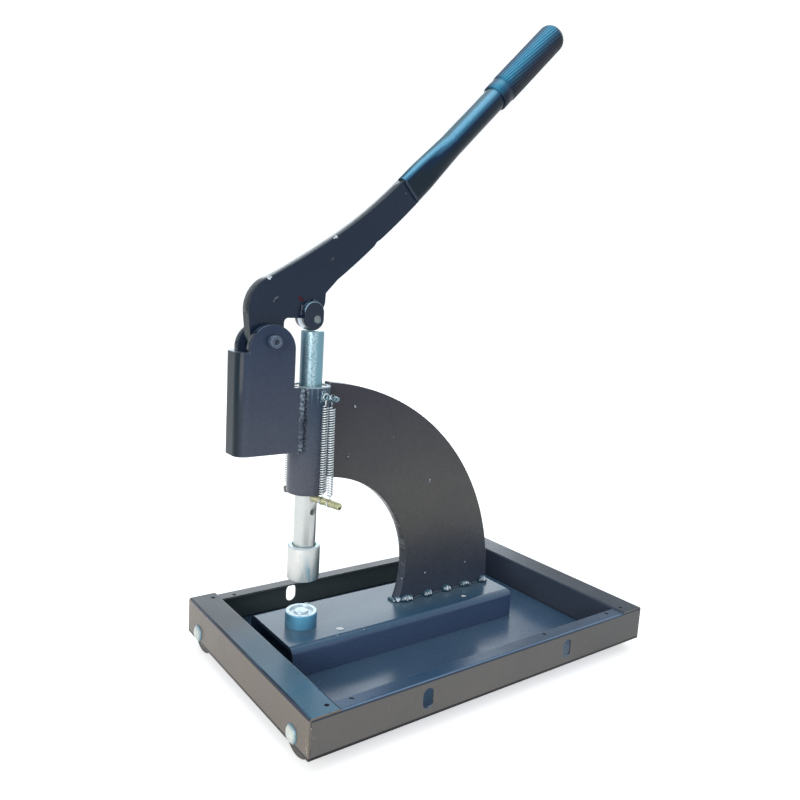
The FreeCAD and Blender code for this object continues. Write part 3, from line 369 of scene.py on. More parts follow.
def finish_paint(look, body, pale, roughness, specular, dust=0.1, peel=1, patch_scale=9,
                 wear=0.35, spread=0.34, mottling=1):
    """Baked paint: patchy colour, orange peel, dust on what faces up, worn edges, fine scuffs."""
    patches = look.span(look.noise(patch_scale, 4), 0.35, 0.65)
    body = look.mix(patches, body, (0.86, 0.88, 0.92, 1), "MULTIPLY")
    mottle = look.span(look.noise(260, 3), 0.3, 0.75, 0, mottling)
    body = look.mix(mottle, body, (1.22, 1.2, 1.16, 1), "MULTIPLY")
    scuffs = look.noise((50, 50, 700), 5, 0.7)
    body = look.lay(body, pale, scuffs, 0.7, 0.76, 0.05)
    settled = look.times(look.facing_up(), look.span(look.noise(22, 6, 0.65), 0.4, 0.75))
    body = look.mix(look.times(settled, dust), body, (176, 184, 188))
    specks = look.span(look.cells(220), 0.02, 0.06, 0.2, 0)
    body = look.mix(look.times(specks, look.span(look.noise(14), 0.52, 0.62)), body, pale)
    bare = look.span(look.noise(160, 4), spread, spread + 0.26)
    worn = look.times(look.edges(EDGE_WIDTH), bare)
    body = look.mix(look.times(worn, wear), body, pale)
    smear = look.span(look.noise(24, 4), 0.3, 0.7, -0.04, 0.06)
    rough = look.plus(look.plus(roughness, smear), look.times(settled, dust))
    look.set(Base_Color=body, Roughness=rough, Specular_IOR_Level=specular)
    orange_peel = look.plus(look.noise(900, 2), look.times(look.noise(70), 3))
    look.bump(orange_peel, 0.012 * MM * peel)


def paint(name, side, top, roughness, specular, pale=PALE, zones=None, **finish):
    """Paint with a second tone on what faces up: on most pieces a painted reflection of the pale sky, on
    the guide tube its bare machined rim.
    """
    material = bpy.data.materials.new(name)
    look = Look(material)
    # The top colour, laid where the surface faces up, is mostly a painted reflection of the sky.
    body = look.mix(look.facing_up(), side, top)
    if zones:
        body = zones(look, body)
    finish_paint(look, body, pale, roughness, specular, **finish)
    return material


def rail_paint(name, outer, inner, top, blue_reflection=False, glint=None):
    """Rail paint: painted light on the outside and painted shade on the faces inside the tray, a painted
    reflection of the sky on the top, painted shade on the bend and a dark line along the lower edge.

    With a blue reflection, the top has a painted bluer reflection at its near end. A glint is the colour
    of a painted highlight line above the painted shade on the bend.
    """
    material = bpy.data.materials.new(name)
    look = Look(material)
    end, side = tray_high.x, tray_high.y
    along = look.absolute(look.at("X"))
    across = look.absolute(look.at("Y"))
    up = look.turned_to(UP)
    past_end = look.maths("GREATER_THAN", along, end - 1 * MM)
    past_side = look.maths("GREATER_THAN", across, side - 1 * MM)
    # Painted shade: the outside grows darker towards the rear end.
    outer = look.lay(outer, (70, 70, 70), look.at("X"), 60 * MM, end, 0.55)
    # Painted light and shade: pale on the outside faces, dark on the faces inside the tray.
    body = look.mix(look.maths("MAXIMUM", past_end, past_side), inner, outer)
    # Painted reflection of the sky on the top, in lighter and darker patches.
    top = look.lay(top, scaled(top, 0.6), look.noise(5, 2), 0.35, 0.65)
    if blue_reflection:
        # Painted bluer reflection towards the near end of the top.
        blue = look.span(look.noise((5, 9, 1), 1, 0.4), 0.4, 0.65, 0.55, 1)
        near_side = look.span(look.at("Y"), 60 * MM, -60 * MM)
        top = look.mix(look.times(blue, look.times(near_side, 0.85)), top, (50, 122, 156))
    body = look.lay(body, top, up, 0.85, 0.98)
    # Painted shade on the bend between the top and the side.
    bend = look.times(look.span(up, 0.1, 0.3), look.span(up, 0.95, 0.8))
    body = look.mix(look.times(bend, 0.85), body, (44, 58, 78))
    if glint:
        # Painted highlight: a pale line just above the bend's painted shade.
        crest = look.times(look.span(up, 0.72, 0.8), look.span(up, 0.99, 0.96))
        body = look.mix(crest, body, glint)
    # Darker along the lowest few mm of the rails.
    bottom_line = look.span(look.at("Z"), tray_low.z + 3.4 * MM, tray_low.z + 2.4 * MM, 0, 0.95)
    body = look.mix(bottom_line, body, (14, 14, 18))
    seam = look.times(look.span(along, end - 2.5 * MM, end - 2.2 * MM),
                      look.span(along, end - 1.4 * MM, end - 1.7 * MM))
    broken = look.span(look.noise((8, 8, 110), 3, 0.6), 0.48, 0.54)
    body = look.mix(look.times(seam, broken), body, (26, 24, 26))
    corner = look.times(look.span(along, end - 6 * MM, end - 3 * MM),
                        look.span(across, side - 6 * MM, side - 3 * MM))
    chips = look.span(look.noise(230, 3, 0.6), 0.62, 0.66)
    body = look.mix(look.times(corner, chips), body, (206, 208, 204))
    finish_paint(look, body, (196, 196, 192), 0.24, 0.22, dust=0.06, mottling=0.35)
    return material


def steel(name, main, tint, roughness, lathe=(300, 300, 2600), bands=0, zones=None,
          grain=0.12, stain=0.3, metal=1):
    """Bright or plated steel: fine machining marks, cloudy plating and small stains.

    With no number for metal, the zones set how metallic it is.
    """
    material = bpy.data.materials.new(name)
    look = Look(material)
    body = look.lay(main, tint, look.noise(40, 5, 0.6, distortion=0.6), 0.35, 0.65)
    if zones:
        body = zones(look, body)
    fine = look.span(look.noise(1100, 3), 0.3, 0.7, 0, grain)
    body = look.mix(fine, body, DARKER_METAL, "MULTIPLY")
    marks = look.noise(lathe, 4, 0.65)
    body = look.mix(look.span(marks, 0.45, 0.75, 0, bands), body, DARKER_METAL, "MULTIPLY")
    stains = look.span(look.cells(150), 0.02, 0.12, stain, 0)
    body = look.mix(stains, body, (0.55, 0.56, 0.55, 1), "MULTIPLY")
    rough = look.plus(roughness, look.span(marks, 0.3, 0.7, -0.05, 0.1))
    look.set(Base_Color=body, Roughness=rough)
    if metal is not None:
        look.set(Metallic=metal)
    look.bump(look.plus(marks, look.noise(700, 2)), 0.02 * MM)
    return material


def plastic(name, main, tint, roughness, specular=0.5, zones=None, rub=0.4):
    """Moulded rubber or plastic with a fine grain and dull rubbed patches."""
    material = bpy.data.materials.new(name)
    look = Look(material)
    body = look.lay(main, tint, look.noise(35, 5), 0.35, 0.65)
    if zones:
        body = zones(look, body)
    rubbed = look.times(look.edges(EDGE_WIDTH), look.span(look.noise(120), 0.4, 0.65))
    body = look.mix(look.times(rubbed, rub), body, scaled(main, 3, 0.03))
    rough = look.span(look.noise(60, 4), 0.3, 0.7, roughness - 0.08, roughness + 0.1)
    look.set(Base_Color=body, Roughness=rough, Specular_IOR_Level=specular)
    look.bump(look.noise(700, 3), 0.04 * MM)
    return material


def ram_zones(look, body):
    """A blue-green plating above the guide tube, bare bright steel below it, with painted reflections that
    change by which way the surface turns.
    """
    side = look.turned_to(RIGHTWARD)
    cloud = look.span(look.noise(560, 4, 0.75), 0.44, 0.58)
    film_and_reflection = look.mix(cloud, (196, 222, 230), (112, 160, 178))
    # Painted reflections on the plating, by which way the surface turns.
    film_and_reflection = look.lay(film_and_reflection, (104, 146, 168), side, -0.3, -0.8)
    film_and_reflection = look.lay(film_and_reflection, (120, 164, 178), side, 0.3, 0.55)
    # Painted reflection: a dark grey-green strip down the bare steel's right side.
    bare = look.lay(body, (120, 130, 126), side, 0.74, 0.84)
    inside_tube = middle("guide_tube").z
    above = look.span(look.at("Z"), inside_tube, inside_tube + MM)
    look.set(Metallic=look.span(above, 0, 1, 0.6, 0.3))
    return look.mix(above, bare, film_and_reflection)


def bolt_head_zones(look, body):
    """Painted reflection: blue-grey towards the edge of the domed heads."""
    outward = look.absolute(look.turned_to(ALONG_X))
    return look.lay(body, (92, 132, 150), outward, 0.86, 0.66)


def upper_die_zones(look, body):
    """A painted blue reflection low on the die's turned side, broken into streaks, dark scratches down it,
    painted shade on its right side and a painted pale reflection on top.
    """
    side = look.turned_to(RIGHTWARD)
    centre = middle("upper_die").z
    low = look.span(look.at("Z"), centre + 12 * MM, centre - 6 * MM)
    streaks = look.span(look.noise((260, 260, 40), 4, 0.7), 0.42, 0.6)
    # Painted blue reflection, broken into streaks.
    film_and_reflection = look.times(look.span(side, -0.3, 0.3), look.times(low, streaks))
    body = look.mix(film_and_reflection, body, (142, 188, 204))
    scratches = look.noise((700, 700, 60), 3, 0.7)
    body = look.lay(body, (96, 104, 106), scratches, 0.6, 0.72, 0.5)
    # Painted shade on the right side.
    body = look.lay(body, (88, 106, 104), side, 0.6, 0.97)
    # Painted reflection of the sky on the top face.
    return look.mix(look.facing_up(), body, (206, 228, 238))


def lower_die_zones(look, body):
    """Pale on top with dark pits round the middle, blue plating round the side, with painted shade where
    the side turns away to the left and to the right.
    """
    side = look.turned_to(RIGHTWARD)
    # Painted shade on the blue plating where the side turns away to the left and to the right.
    film_and_reflection = look.lay((110, 192, 232), (66, 116, 146), side, -0.1, -0.9)
    film_and_reflection = look.lay(film_and_reflection, (84, 150, 188), side, 0.4, 0.9)
    film_and_reflection = look.lay(film_and_reflection, (140, 190, 214), look.noise((20, 20, 900), 2, 0.5), 0.4, 0.6, 0.3)
    distance = look.vector_maths("LENGTH", look.from_axis(ram_axis), output="Value")
    rim = half_width("lower_die")
    outside = look.span(distance, rim - 1.2 * MM, rim - 0.9 * MM)
    around = look.times(outside, look.span(look.facing_up(), 0.7, 0.4))
    pits = look.noise(210, 3, 0.6)
    face = look.lay((204, 222, 230), (98, 122, 136), pits, 0.56, 0.66, 0.6)
    return look.mix(around, face, film_and_reflection)


def tube_zones(look, body):
    """A slow change of tone down the tube, and a pale rim round its top."""
    low, high = bottom("guide_tube") + 20 * MM, top("guide_tube") - 8 * MM
    body = look.lay(body, (40, 60, 82), look.at("Z"), low, high)
    return look.lay(body, (168, 190, 202), look.turned_to(UP), 0.1, 0.3, 0.9)


def column_zones(look, body):
    """A painted sheen, palest half-way up and bluer at both ends, with pale lines along the cut edge."""
    height = look.at("Z")
    cut_edge = look.span(look.absolute(look.turned_to(ALONG_Y)), 0.6, 0.3)
    lines = look.span(look.noise((330, 10, 330), 3, 0.6), 0.5, 0.62, 0, 0.55)
    body = look.mix(look.times(cut_edge, lines), body, (146, 150, 154))
    # Painted sheen: darker and bluer towards the top and towards the bottom.
    body = look.lay(body, (56, 56, 66), height, 200 * MM, 320 * MM)
    return look.lay(body, (64, 72, 88), height, 150 * MM, 60 * MM)


def bracket_zones(look, body):
    """Painted light: bluer at the top, greyer at the bottom, bluest and darkest in painted shade on the
    bent front, and a painted highlight along the rim of the ears.
    """
    height = look.span(look.at("Z"), bottom("fulcrum_bracket"), top("fulcrum_bracket"))
    # Painted light: bluer towards the top, greyer towards the bottom.
    body = look.mix(height, body, (38, 54, 80))
    # Painted shade on the bent front.
    body = look.lay(body, (8, 28, 40), look.turned_to(-ALONG_X), 0.3, 0.8)
    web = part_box("fulcrum_bracket")[0].x
    ears = look.span(look.at("X"), web + 18 * MM, web + 22 * MM, 0, 0.9)
    # Painted highlight along the upper rim of the ears.
    rim = look.times(look.times(look.plate_rims(), ears), look.span(height, 0.72, 0.78))
    return look.mix(rim, body, (128, 150, 168))


def fork_zones(look, body):
    """A painted highlight: a pale rim round the top of the round ends."""
    return look.mix(look.times(look.plate_rims(), 0.9), body, (150, 186, 206))


def plinth_zones(look, body):
    """Painted reflections: the top turns bluer towards its right edge and over the bend; painted shade
    makes the front end dark.
    """
    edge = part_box("plinth_channel")[0].y
    near = look.span(look.at("Y"), edge + 40 * MM, edge + 5 * MM)
    up = look.facing_up()
    # Painted reflection: bluer towards the top's right edge.
    body = look.mix(look.times(near, up), body, (48, 84, 112))
    # Painted reflection over the bend.
    bend = look.times(look.span(up, 0, 0.1), look.span(up, 0.98, 0.8))
    body = look.mix(bend, body, (60, 92, 122))
    # Painted shade on the front end.
    return look.lay(body, (34, 46, 62), look.turned_to(-ALONG_X), 0.4, 0.8)


# The painted highlight stripe's direction. The grip's ribs: how many, where they start on the handle, and
# how they wind, in radians per metre.
HIGHLIGHT_BAND = Vector((-0.554, -0.623, 0.551)).normalized()
RIBS = 32
RIBS_START = 414 * MM
RIBS_WINDING = 0.8 / (124 * MM)
GRIP_RADIUS = 17.35 * MM


def handle_zones(look, body):
    """A painted highlight: a light blue stripe along the handle's upper near side, with deep blue painted
    shade beside it.
    """
    highlight_band = look.turned_to(HIGHLIGHT_BAND)
    # Painted shade and highlight, laid by how far the surface turns towards the highlight's direction.
    body = look.lay(body, (6, 36, 66), highlight_band, 0.62, 0.74)
    body = look.lay(body, (58, 112, 144), highlight_band, 0.8, 0.93)
    body = look.lay(body, (106, 170, 202), highlight_band, 0.93, 0.99)
    # Painted reflection along the handle's upper side.
    return look.lay(body, (50, 90, 104), look.turned_to(handle_across), 0.82, 0.95)


def grip_zones(look, body):
    """The same painted highlight and shade on the grip, by place and not by slope, so that the ribs don't
    break them; painted shade in the ribs' valleys.
    """
    def offset(start, direction):
        """How far along a direction the surface lies from a point."""
        return look.minus(look.dot(look.place, direction), start.dot(direction))

    highlight_band = look.maths("DIVIDE", offset(on_handle(0), HIGHLIGHT_BAND), GRIP_RADIUS)
    # Painted shade, then the painted highlight, across the grip.
    body = look.lay((0, 18, 34), body, highlight_band, 0.35, 0.65)
    body = look.lay(body, (30, 94, 126), highlight_band, 0.65, 0.9)
    body = look.lay(body, (54, 154, 190), highlight_band, 0.9, 1)
    along = offset(on_handle(RIBS_START), handle_direction)
    sideways = look.minus(look.at("Y"), ram_axis.y)
    angle = look.maths("ARCTAN2", sideways, offset(on_handle(0), handle_across))
    wound = look.plus(angle, look.times(along, RIBS_WINDING))
    valley = look.saw(look.times(wound, RIBS / (2 * pi)))
    # Painted shade in the valleys between the ribs.
    ribbed = look.times(look.span(along, 18 * MM, 21 * MM), look.span(valley, 0.2, 0.7, 0, 0.75))
    return look.mix(ribbed, body, (0.2, 0.3, 0.42, 1), "MULTIPLY")


def lever_zones(look, body):
    """The plate's upper edge has a pale painted reflection along the arm and is darker round the head;
    painted shade on the faces turned to the front.
    """
    past_head = look.span(look.at("X"), pivot.x + 2 * MM, pivot.x + 26 * MM)
    top_edge = look.span(look.turned_to(handle_across), 0.6, 0.9)
    # Painted reflection along the plate's upper edge, past the head.
    body = look.mix(look.times(past_head, top_edge), body, (58, 74, 80))
    # Painted shade on the faces turned to the front.
    return look.lay(body, (4, 26, 34), look.turned_to((-1, 0, 0.2)), 0.5, 0.8)


def highlight_zones(pale, low=0.86, high=0.97, stretches=False):
    """A painted pale highlight on the crest of a lump, on the side that faces up and out, or on only
    stretches of it.
    """
    def zones(look, body):
        crest = look.span(look.turned_to(Vector((-0.22, -0.85, 0.48)).normalized()), low, high)
        broken = look.span(look.noise(420, 3, 0.6), 0.34, 0.5)
        if stretches:
            lengths = look.span(look.noise((1, 1, 42), 1, 0.4), 0.42, 0.56)
            broken = look.times(broken, lengths)
        return look.mix(look.times(crest, broken), body, pale)
    return zones


def highlight_streak_zones(look, body):
    """Painted highlights: bright broken streaks."""
    return look.lay(body, (178, 206, 216), look.noise((900, 900, 420), 4, 0.7), 0.5, 0.57)


def thread_zones(look, body):
    """Painted shade in the valleys of the cross bar's thread, dull blotches, and brown painted shade on
    its left end.
    """
    offset = look.from_axis(ram_axis)
    along = look.dot(offset, bar_direction)
    rise = look.minus(look.at("Z"), bar_height)
    angle = look.maths("ARCTAN2", rise, look.dot(offset, bar_sideways))
    turns = look.plus(look.maths("DIVIDE", along, thread_pitch), look.maths("DIVIDE", angle, 2 * pi))
    # Painted shade in the thread's valleys.
    body = look.lay(body, (96, 98, 68), look.saw(turns), 0.45, 0.8)
    body = look.lay(body, (110, 106, 76), look.noise(430, 3, 0.7), 0.52, 0.62, 0.6)
    # Painted shade: brown on the left end.
    return look.lay(body, (100, 88, 76), along, -20 * MM, -24 * MM)


def coil_shade_zones(centre):
    """Painted shade on the inside of the coils, where they face the spring's axis."""
    def zones(look, body):
        return look.lay(body, (44, 58, 66), look.turned_out(centre), 0.25, -0.1)
    return zones


# The finish of paint over weld: a rougher skin, and no worn edges.
LUMPY = {"peel": 2, "wear": 0}
looks = {
    "tray_paint": paint("floor_paint", (60, 86, 112), (68, 93, 118), 0.22, 0.4, dust=0.03, patch_scale=6),
    "frame_paint": paint("frame_paint", (82, 81, 80), (70, 76, 84), 0.26, 0.25, zones=column_zones),
    "bracket_paint": paint("bracket_paint", (72, 78, 92), (92, 104, 112), 0.26, 0.25, zones=bracket_zones),
    "lever_paint": paint("lever_paint", (26, 40, 60), (48, 62, 72), 0.22, 0.25, zones=lever_zones,
                         wear=0.16),
    "handle_paint": paint("handle_paint", (16, 34, 46), (24, 50, 70), 0.22, 0.2, zones=handle_zones,
                          wear=0.2),
    "grip_rubber": plastic("grip_rubber", (6, 36, 58), (12, 28, 60), 0.36, specular=0.25, zones=grip_zones,
                           rub=0.1),
    "foot_plastic": plastic("foot_plastic", (92, 86, 80), (74, 70, 66), 0.6),
    "zinc_steel": steel("zinc_steel", (206, 214, 212), (168, 184, 188), 0.34, bands=0.2, metal=0.8),
    "black_steel": steel("black_steel", (66, 80, 96), (48, 62, 80), 0.36),
    "bright_steel": steel("bright_steel", (190, 200, 206), (160, 174, 184), 0.26),
    "yellow_zinc": steel("yellow_zinc", (206, 204, 160), (160, 164, 120), 0.36, metal=0.8),
    "bronze": steel("bronze", (190, 184, 168), (158, 150, 132), 0.36),
}
cross_bar_look = steel("cross_bar_steel", (232, 230, 192), (196, 198, 150), 0.36, zones=thread_zones,
                       metal=0.35)
spring_looks = {}
for spring_name, spring_ends in spring_places.items():
    spring_axis = on_bar(sum(spring_ends) / 2, 0)
    spring_looks[spring_name] = steel(spring_name + "_steel", (240, 246, 248), (214, 226, 230), 0.24,
                                      metal=0.3, zones=coil_shade_zones(spring_axis))
weld_look = paint("weld_paint", (30, 62, 80), (76, 114, 138), 0.12, 0.7,
                  zones=highlight_zones((226, 240, 250)), **LUMPY)
run_look = paint("weld_run_paint", (36, 54, 74), (60, 84, 104), 0.14, 0.6, **LUMPY)
splash_look = paint("splash_paint", (44, 82, 98), (80, 118, 132), 0.14, 0.5, zones=highlight_streak_zones, **LUMPY)
dark_weld_look = paint("dark_weld_paint", (52, 62, 78), (64, 76, 92), 0.2, 0.45,
                       zones=highlight_zones((128, 144, 160), 0.7, 0.94, True), **LUMPY)
lever_weld_look = paint("lever_weld_paint", (28, 42, 62), (54, 68, 78), 0.22, 0.4, **LUMPY)
pale_fleck_look = paint("pale_spatter", (196, 206, 214), (226, 232, 236), 0.3, 0.5)
grey_fleck_look = paint("grey_spatter", (58, 60, 68), (92, 100, 110), 0.2, 0.6,
                        zones=highlight_zones((158, 168, 180), 0.75, 0.92))
lever_fleck_look = paint("lever_spatter_paint", (20, 30, 46), (56, 68, 82), 0.2, 0.5,
                         zones=highlight_zones((78, 92, 108), 0.86, 0.97))
rust_fleck_look = paint("rust_spatter", (70, 22, 34), (72, 28, 36), 0.45, 0.15, (90, 50, 58))
fork_paint = paint("fork_paint", (26, 40, 60), (48, 62, 72), 0.2, 0.3, zones=fork_zones, wear=0.16)
node_looks = {
    "front_end_rail": rail_paint("front_rail_paint", (117, 107, 96), (66, 74, 88), (44, 57, 66),
                                 blue_reflection=True),
    "rear_end_rail": rail_paint("rear_rail_paint", (106, 100, 93), (66, 74, 88), (36, 54, 72)),
    "right_side_rail": rail_paint("side_rail_paint", (108, 105, 102), (66, 74, 84), (52, 86, 118),
                                  glint=(104, 132, 162)),
    "left_side_rail": rail_paint("left_rail_paint", (108, 105, 102), (84, 94, 94), (86, 90, 96)),
    "plinth_channel": paint("plinth_paint", (70, 90, 122), (84, 106, 122), 0.19, 0.36, dust=0.03,
                            zones=plinth_zones),
    # The strong pale worn edges on the bolt head are partly worn paint and partly a painted highlight on
    # its rim.
    "pivot_bolt": paint("bolt_paint", (78, 92, 112), (110, 124, 140), 0.3, 0.3, wear=0.8, spread=0.2),
    "roller_pin": steel("pin_steel", (136, 148, 148), (104, 116, 118), 0.4, metal=0.4),
    "right_fork_plate": fork_paint,
    "left_fork_plate": fork_paint,
    "foot_bolts": steel("foot_bolt_steel", (220, 224, 216), (176, 190, 190), 0.34, metal=0.3,
                        zones=bolt_head_zones),
    "right_spring_stud": splash_look,
    "left_spring_stud": splash_look,
    "guide_tube": paint("tube_paint", (80, 84, 96), (190, 200, 206), 0.24, 0.3, zones=tube_zones),
    "ram": steel("ram_steel", (214, 216, 212), (206, 210, 208), 0.32, (60, 60, 1400), zones=ram_zones,
                 grain=0.2, stain=0.05, metal=None),
    "upper_die": steel("upper_die_steel", (232, 231, 226), (220, 224, 222), 0.36, (90, 90, 1500),
                       zones=upper_die_zones, stain=0.1, metal=0.35),
    "lower_die": steel("lower_die_steel", (206, 220, 228), (190, 210, 222), 0.34, (120, 120, 1600),
                       zones=lower_die_zones, stain=0.1, metal=0.35),
}


# ---- CAD nodes that stay
def dress_nodes():
    """Give each CAD node its material and a small rounding on its sharp edges."""
    slots = {row["node"]: row["material_slot"] for row in frame["record"]["subparts"]}
    edge_widths = {"column_plate": 0.8, "lever_plate": 0.9, "fulcrum_bracket": 0.8,
                   "right_fork_plate": 0.9, "left_fork_plate": 0.9, "plinth_channel": 0.5,
                   "guide_tube": 0.9}
    for name, node in frame["nodes"].items():
        slot = slots[name]
        node.data.materials.clear()
        node.data.materials.append(node_looks.get(name, looks[slot]))
        with_settings(node.modifiers.new("seam", "WELD"), merge_threshold=SAME_PLACE)
        with_settings(node.modifiers.new("flat", "DECIMATE"), decimate_type="DISSOLVE",
                      angle_limit=radians(0.3))
        with_settings(node.modifiers.new("rounding", "BEVEL"), width=edge_widths.get(name, 0.3) * MM,
                      segments=2, limit_method="ANGLE", angle_limit=radians(40), harden_normals=True,
                      use_clamp_overlap=True)


def finished(shape, name, body, slot, look, *nodes):
    """Make a piece of a shape, with its look and body, and hide the nodes it stands for; the slot is not
    used.
    """
    piece = new_piece(name, shape.vertices, shape.faces)
    piece.data.materials.append(look)
    if nodes:
        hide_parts(*nodes)
    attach(piece, body)


# ---- weld beads
BEAD_STEP = 0.5 * MM


def loose_parts(node):
    """The points of each loose part of a CAD node."""
    mesh = bmesh.new()
    mesh.from_mesh(frame["nodes"][node].data)
    bmesh.ops.remove_doubles(mesh, verts=mesh.verts, dist=SAME_PLACE)
    parts, seen = [], set()
    for first in mesh.verts:
        if first in seen:
            continue
        seen.add(first)
        stack, part = [first], []
        while stack:
            vertex = stack.pop()
            part.append(vertex.co.copy())
            for edge in vertex.link_edges:
                other = edge.other_vert(vertex)
                if other not in seen:
                    seen.add(other)
                    stack.append(other)
        parts.append(part)
    mesh.free()
    return parts


def long_axis(points):
    """The middle, long direction, half length and half thickness of a point cloud."""
    centre = sum(points, Vector()) / len(points)
    direction = max(points, key=lambda p: (p - centre).length) - centre
    for _ in range(12):
        total = Vector()
        for point in points:
            offset = point - centre
            total += offset * offset.dot(direction)
        direction = total.normalized()
    along = [(p - centre).dot(direction) for p in points]
    centre += direction * (max(along) + min(along)) / 2
    thick = [((p - centre) - direction * (p - centre).dot(direction)).length for p in points]
    return centre, direction, (max(along) - min(along)) / 2, max(thick)


def straight(start, end, step=BEAD_STEP):
    """Points along a straight line, about one step apart."""
    count = max(6, int((end - start).length / step))
    return [start.lerp(end, index / count) for index in range(count + 1)]


def arc(centre, wide, high, first, turn, count):
    """Points on an upright ellipse across the cross bar, from one angle in degrees onwards."""
    points = []
    for step in range(count):
        angle = radians(first + turn * step / (count - 1))
        points.append(centre + bar_sideways * (wide * cos(angle)) + UP * (high * sin(angle)))
    return points


def lumpy_bead(points, radius, ripple, seed, shape, depth=0.16):
    """Add a weld bead along a path: overlapping ripples with an uneven surface."""
    sides, unevenness = 18, 0.28
    overhang = 0.02 * radius
    shift = Vector((seed * 3.7, seed * 1.9, seed * 5.3))
    length = sum((b - a).length for a, b in zip(points, points[1:]))
    rings = []
    run = 0
    for index, (point, (side, rise)) in enumerate(zip(points, transported_frames(points))):
        if index:
            run += (point - points[index - 1]).length
        end = min(1, (run + overhang) / radius, (length - run + overhang) / radius)
        swell = sqrt(max(0, 1 - (1 - end) ** 2))
        beat = (run / ripple) % 1
        size = radius * swell * (1.02 - depth + depth * sin(pi * beat) ** 0.6)
        ring = []
        for spoke in spokes(side, rise, sides):
            place = (point + spoke * radius) / (radius * 0.9) + shift
            ring.append(point + spoke * size * (1 + unevenness * noise.noise(place)))
        rings.append(ring)
    skin(rings, shape)


def add_fleck(centre, normal, size, seed, shape):
    """Add a small uneven lump that sits on a surface."""
    rows, sides, flatness, unevenness = 7, 10, 0.55, 0.5
    side = normal.orthogonal().normalized()
    rings = []
    for row in range(1, rows):
        polar = pi * row / rows
        ring = []
        for spoke in spokes(side, normal.cross(side), sides):
            point = spoke * sin(polar) + normal * (flatness * cos(polar))
            uneven = 1 + unevenness * noise.noise(point * 1.7 + Vector((seed * 2.3, seed, 0)))
            ring.append(centre + point * size * uneven)
        rings.append(ring)
    skin(rings, shape)


def roughen(path, radius, count, seed, shape):
    """Strew small lumps over a bead, thickly in some stretches and thinly in others."""
    frames = transported_frames(path)
    for index in range(count):
        spot = random.randrange(len(path))
        if noise.noise(Vector((seed * 1.7, spot * 0.035, 0))) < -0.12:
            continue
        side, rise = frames[spot]
        angle = random.uniform(0, 2 * pi)
        spoke = side * cos(angle) + rise * sin(angle)
        centre = path[spot] + spoke * radius * random.uniform(0.7, 1.4)
        add_fleck(centre, spoke, random.uniform(0.5, 1.5) * MM, seed + index, shape)


def strew_on_tube(path, seed, shape):
    """Small lumps on the guide tube beside a bracket bead, in patches."""
    offset = path[0] - ram_axis
    bead_angle = atan2(offset.y, offset.x)
    rearward = 1 if offset.y < 0 else -1
    for index in range(120):
        height = path[0].lerp(path[-1], random.random()).z
        if noise.noise(Vector((seed * 1.7, height / (14 * MM), 3))) < -0.1:
            continue
        angle = bead_angle + rearward * radians(random.uniform(3, 17))
        outward = Vector((cos(angle), sin(angle), 0))
        spot = ram_axis + outward * tube_radius + UP * height
        add_fleck(spot, outward, random.uniform(0.5, 1.3) * MM, seed + index, shape)


def make_welds():
    """Uneven beads in place of the plain ones."""
    # Body, slot, look, fullness against the plain bead, ripple length in mm, ripple depth.
    settings = {"plinth_welds": ("base", "frame_paint", dark_weld_look, 1, 3.2, 0.16),
                "column_welds": ("base", "frame_paint", weld_look, 1.55, 4.6, 0.35),
                "tube_welds": ("base", "frame_paint", dark_weld_look, 1.05, 2.6, 0.16),
                "bracket_welds": ("base", "bracket_paint", dark_weld_look, 0.7, 5, 0.1),
                "fork_welds": ("lever", "lever_paint", lever_weld_look, 0.9, 2.4, 0.16),
                "handle_welds": ("lever", "lever_paint", lever_weld_look, 0.95, 2.6, 0.16)}
    for node, (body, slot, look, fullness, ripple, depth) in settings.items():
        shape = Shape()
        for seed, part in enumerate(loose_parts(node)):
            centre, direction, half, thick = long_axis(part)
            radius = thick * fullness
            reach = direction * max(half - radius * 0.2, radius)
            path = straight(centre - reach, centre + reach)
            lumpy_bead(path, radius, ripple * MM, seed + 1, shape, depth)
            if node == "bracket_welds":
                roughen(path, radius, 90, seed + 80, shape)
                strew_on_tube(path, seed + 80, shape)
            if node == "column_welds":
                roughen(path, radius * 0.8, 12, seed + 90, shape)
        finished(shape, node + "_beads", body, slot, look, node)


def make_mouth_fillets():
    """A thin line of filler along the handle tube's flattened mouth, on both faces of the lever."""
    from_pivot, lever_face = 242 * MM, 7.6 * MM
    below, above = 16.5 * MM, 9.5 * MM
    shape = Shape()
    for seed, side in enumerate((-1, 1)):
        spot = pivot + handle_direction * from_pivot + ALONG_Y * (side * lever_face)
        path = straight(spot - handle_across * below, spot + handle_across * above)
        lumpy_bead(path, 1.6 * MM, 6 * MM, seed + 70, shape, 0.06)
    finished(shape, "mouth_fillets", "lever", "lever_paint", looks["lever_paint"])


def by_column(x, aside, rise):
    """A point above the plinth, by its distance from the column's middle plane."""
    return Vector((x, ram_axis.y + aside, plinth_top + rise))


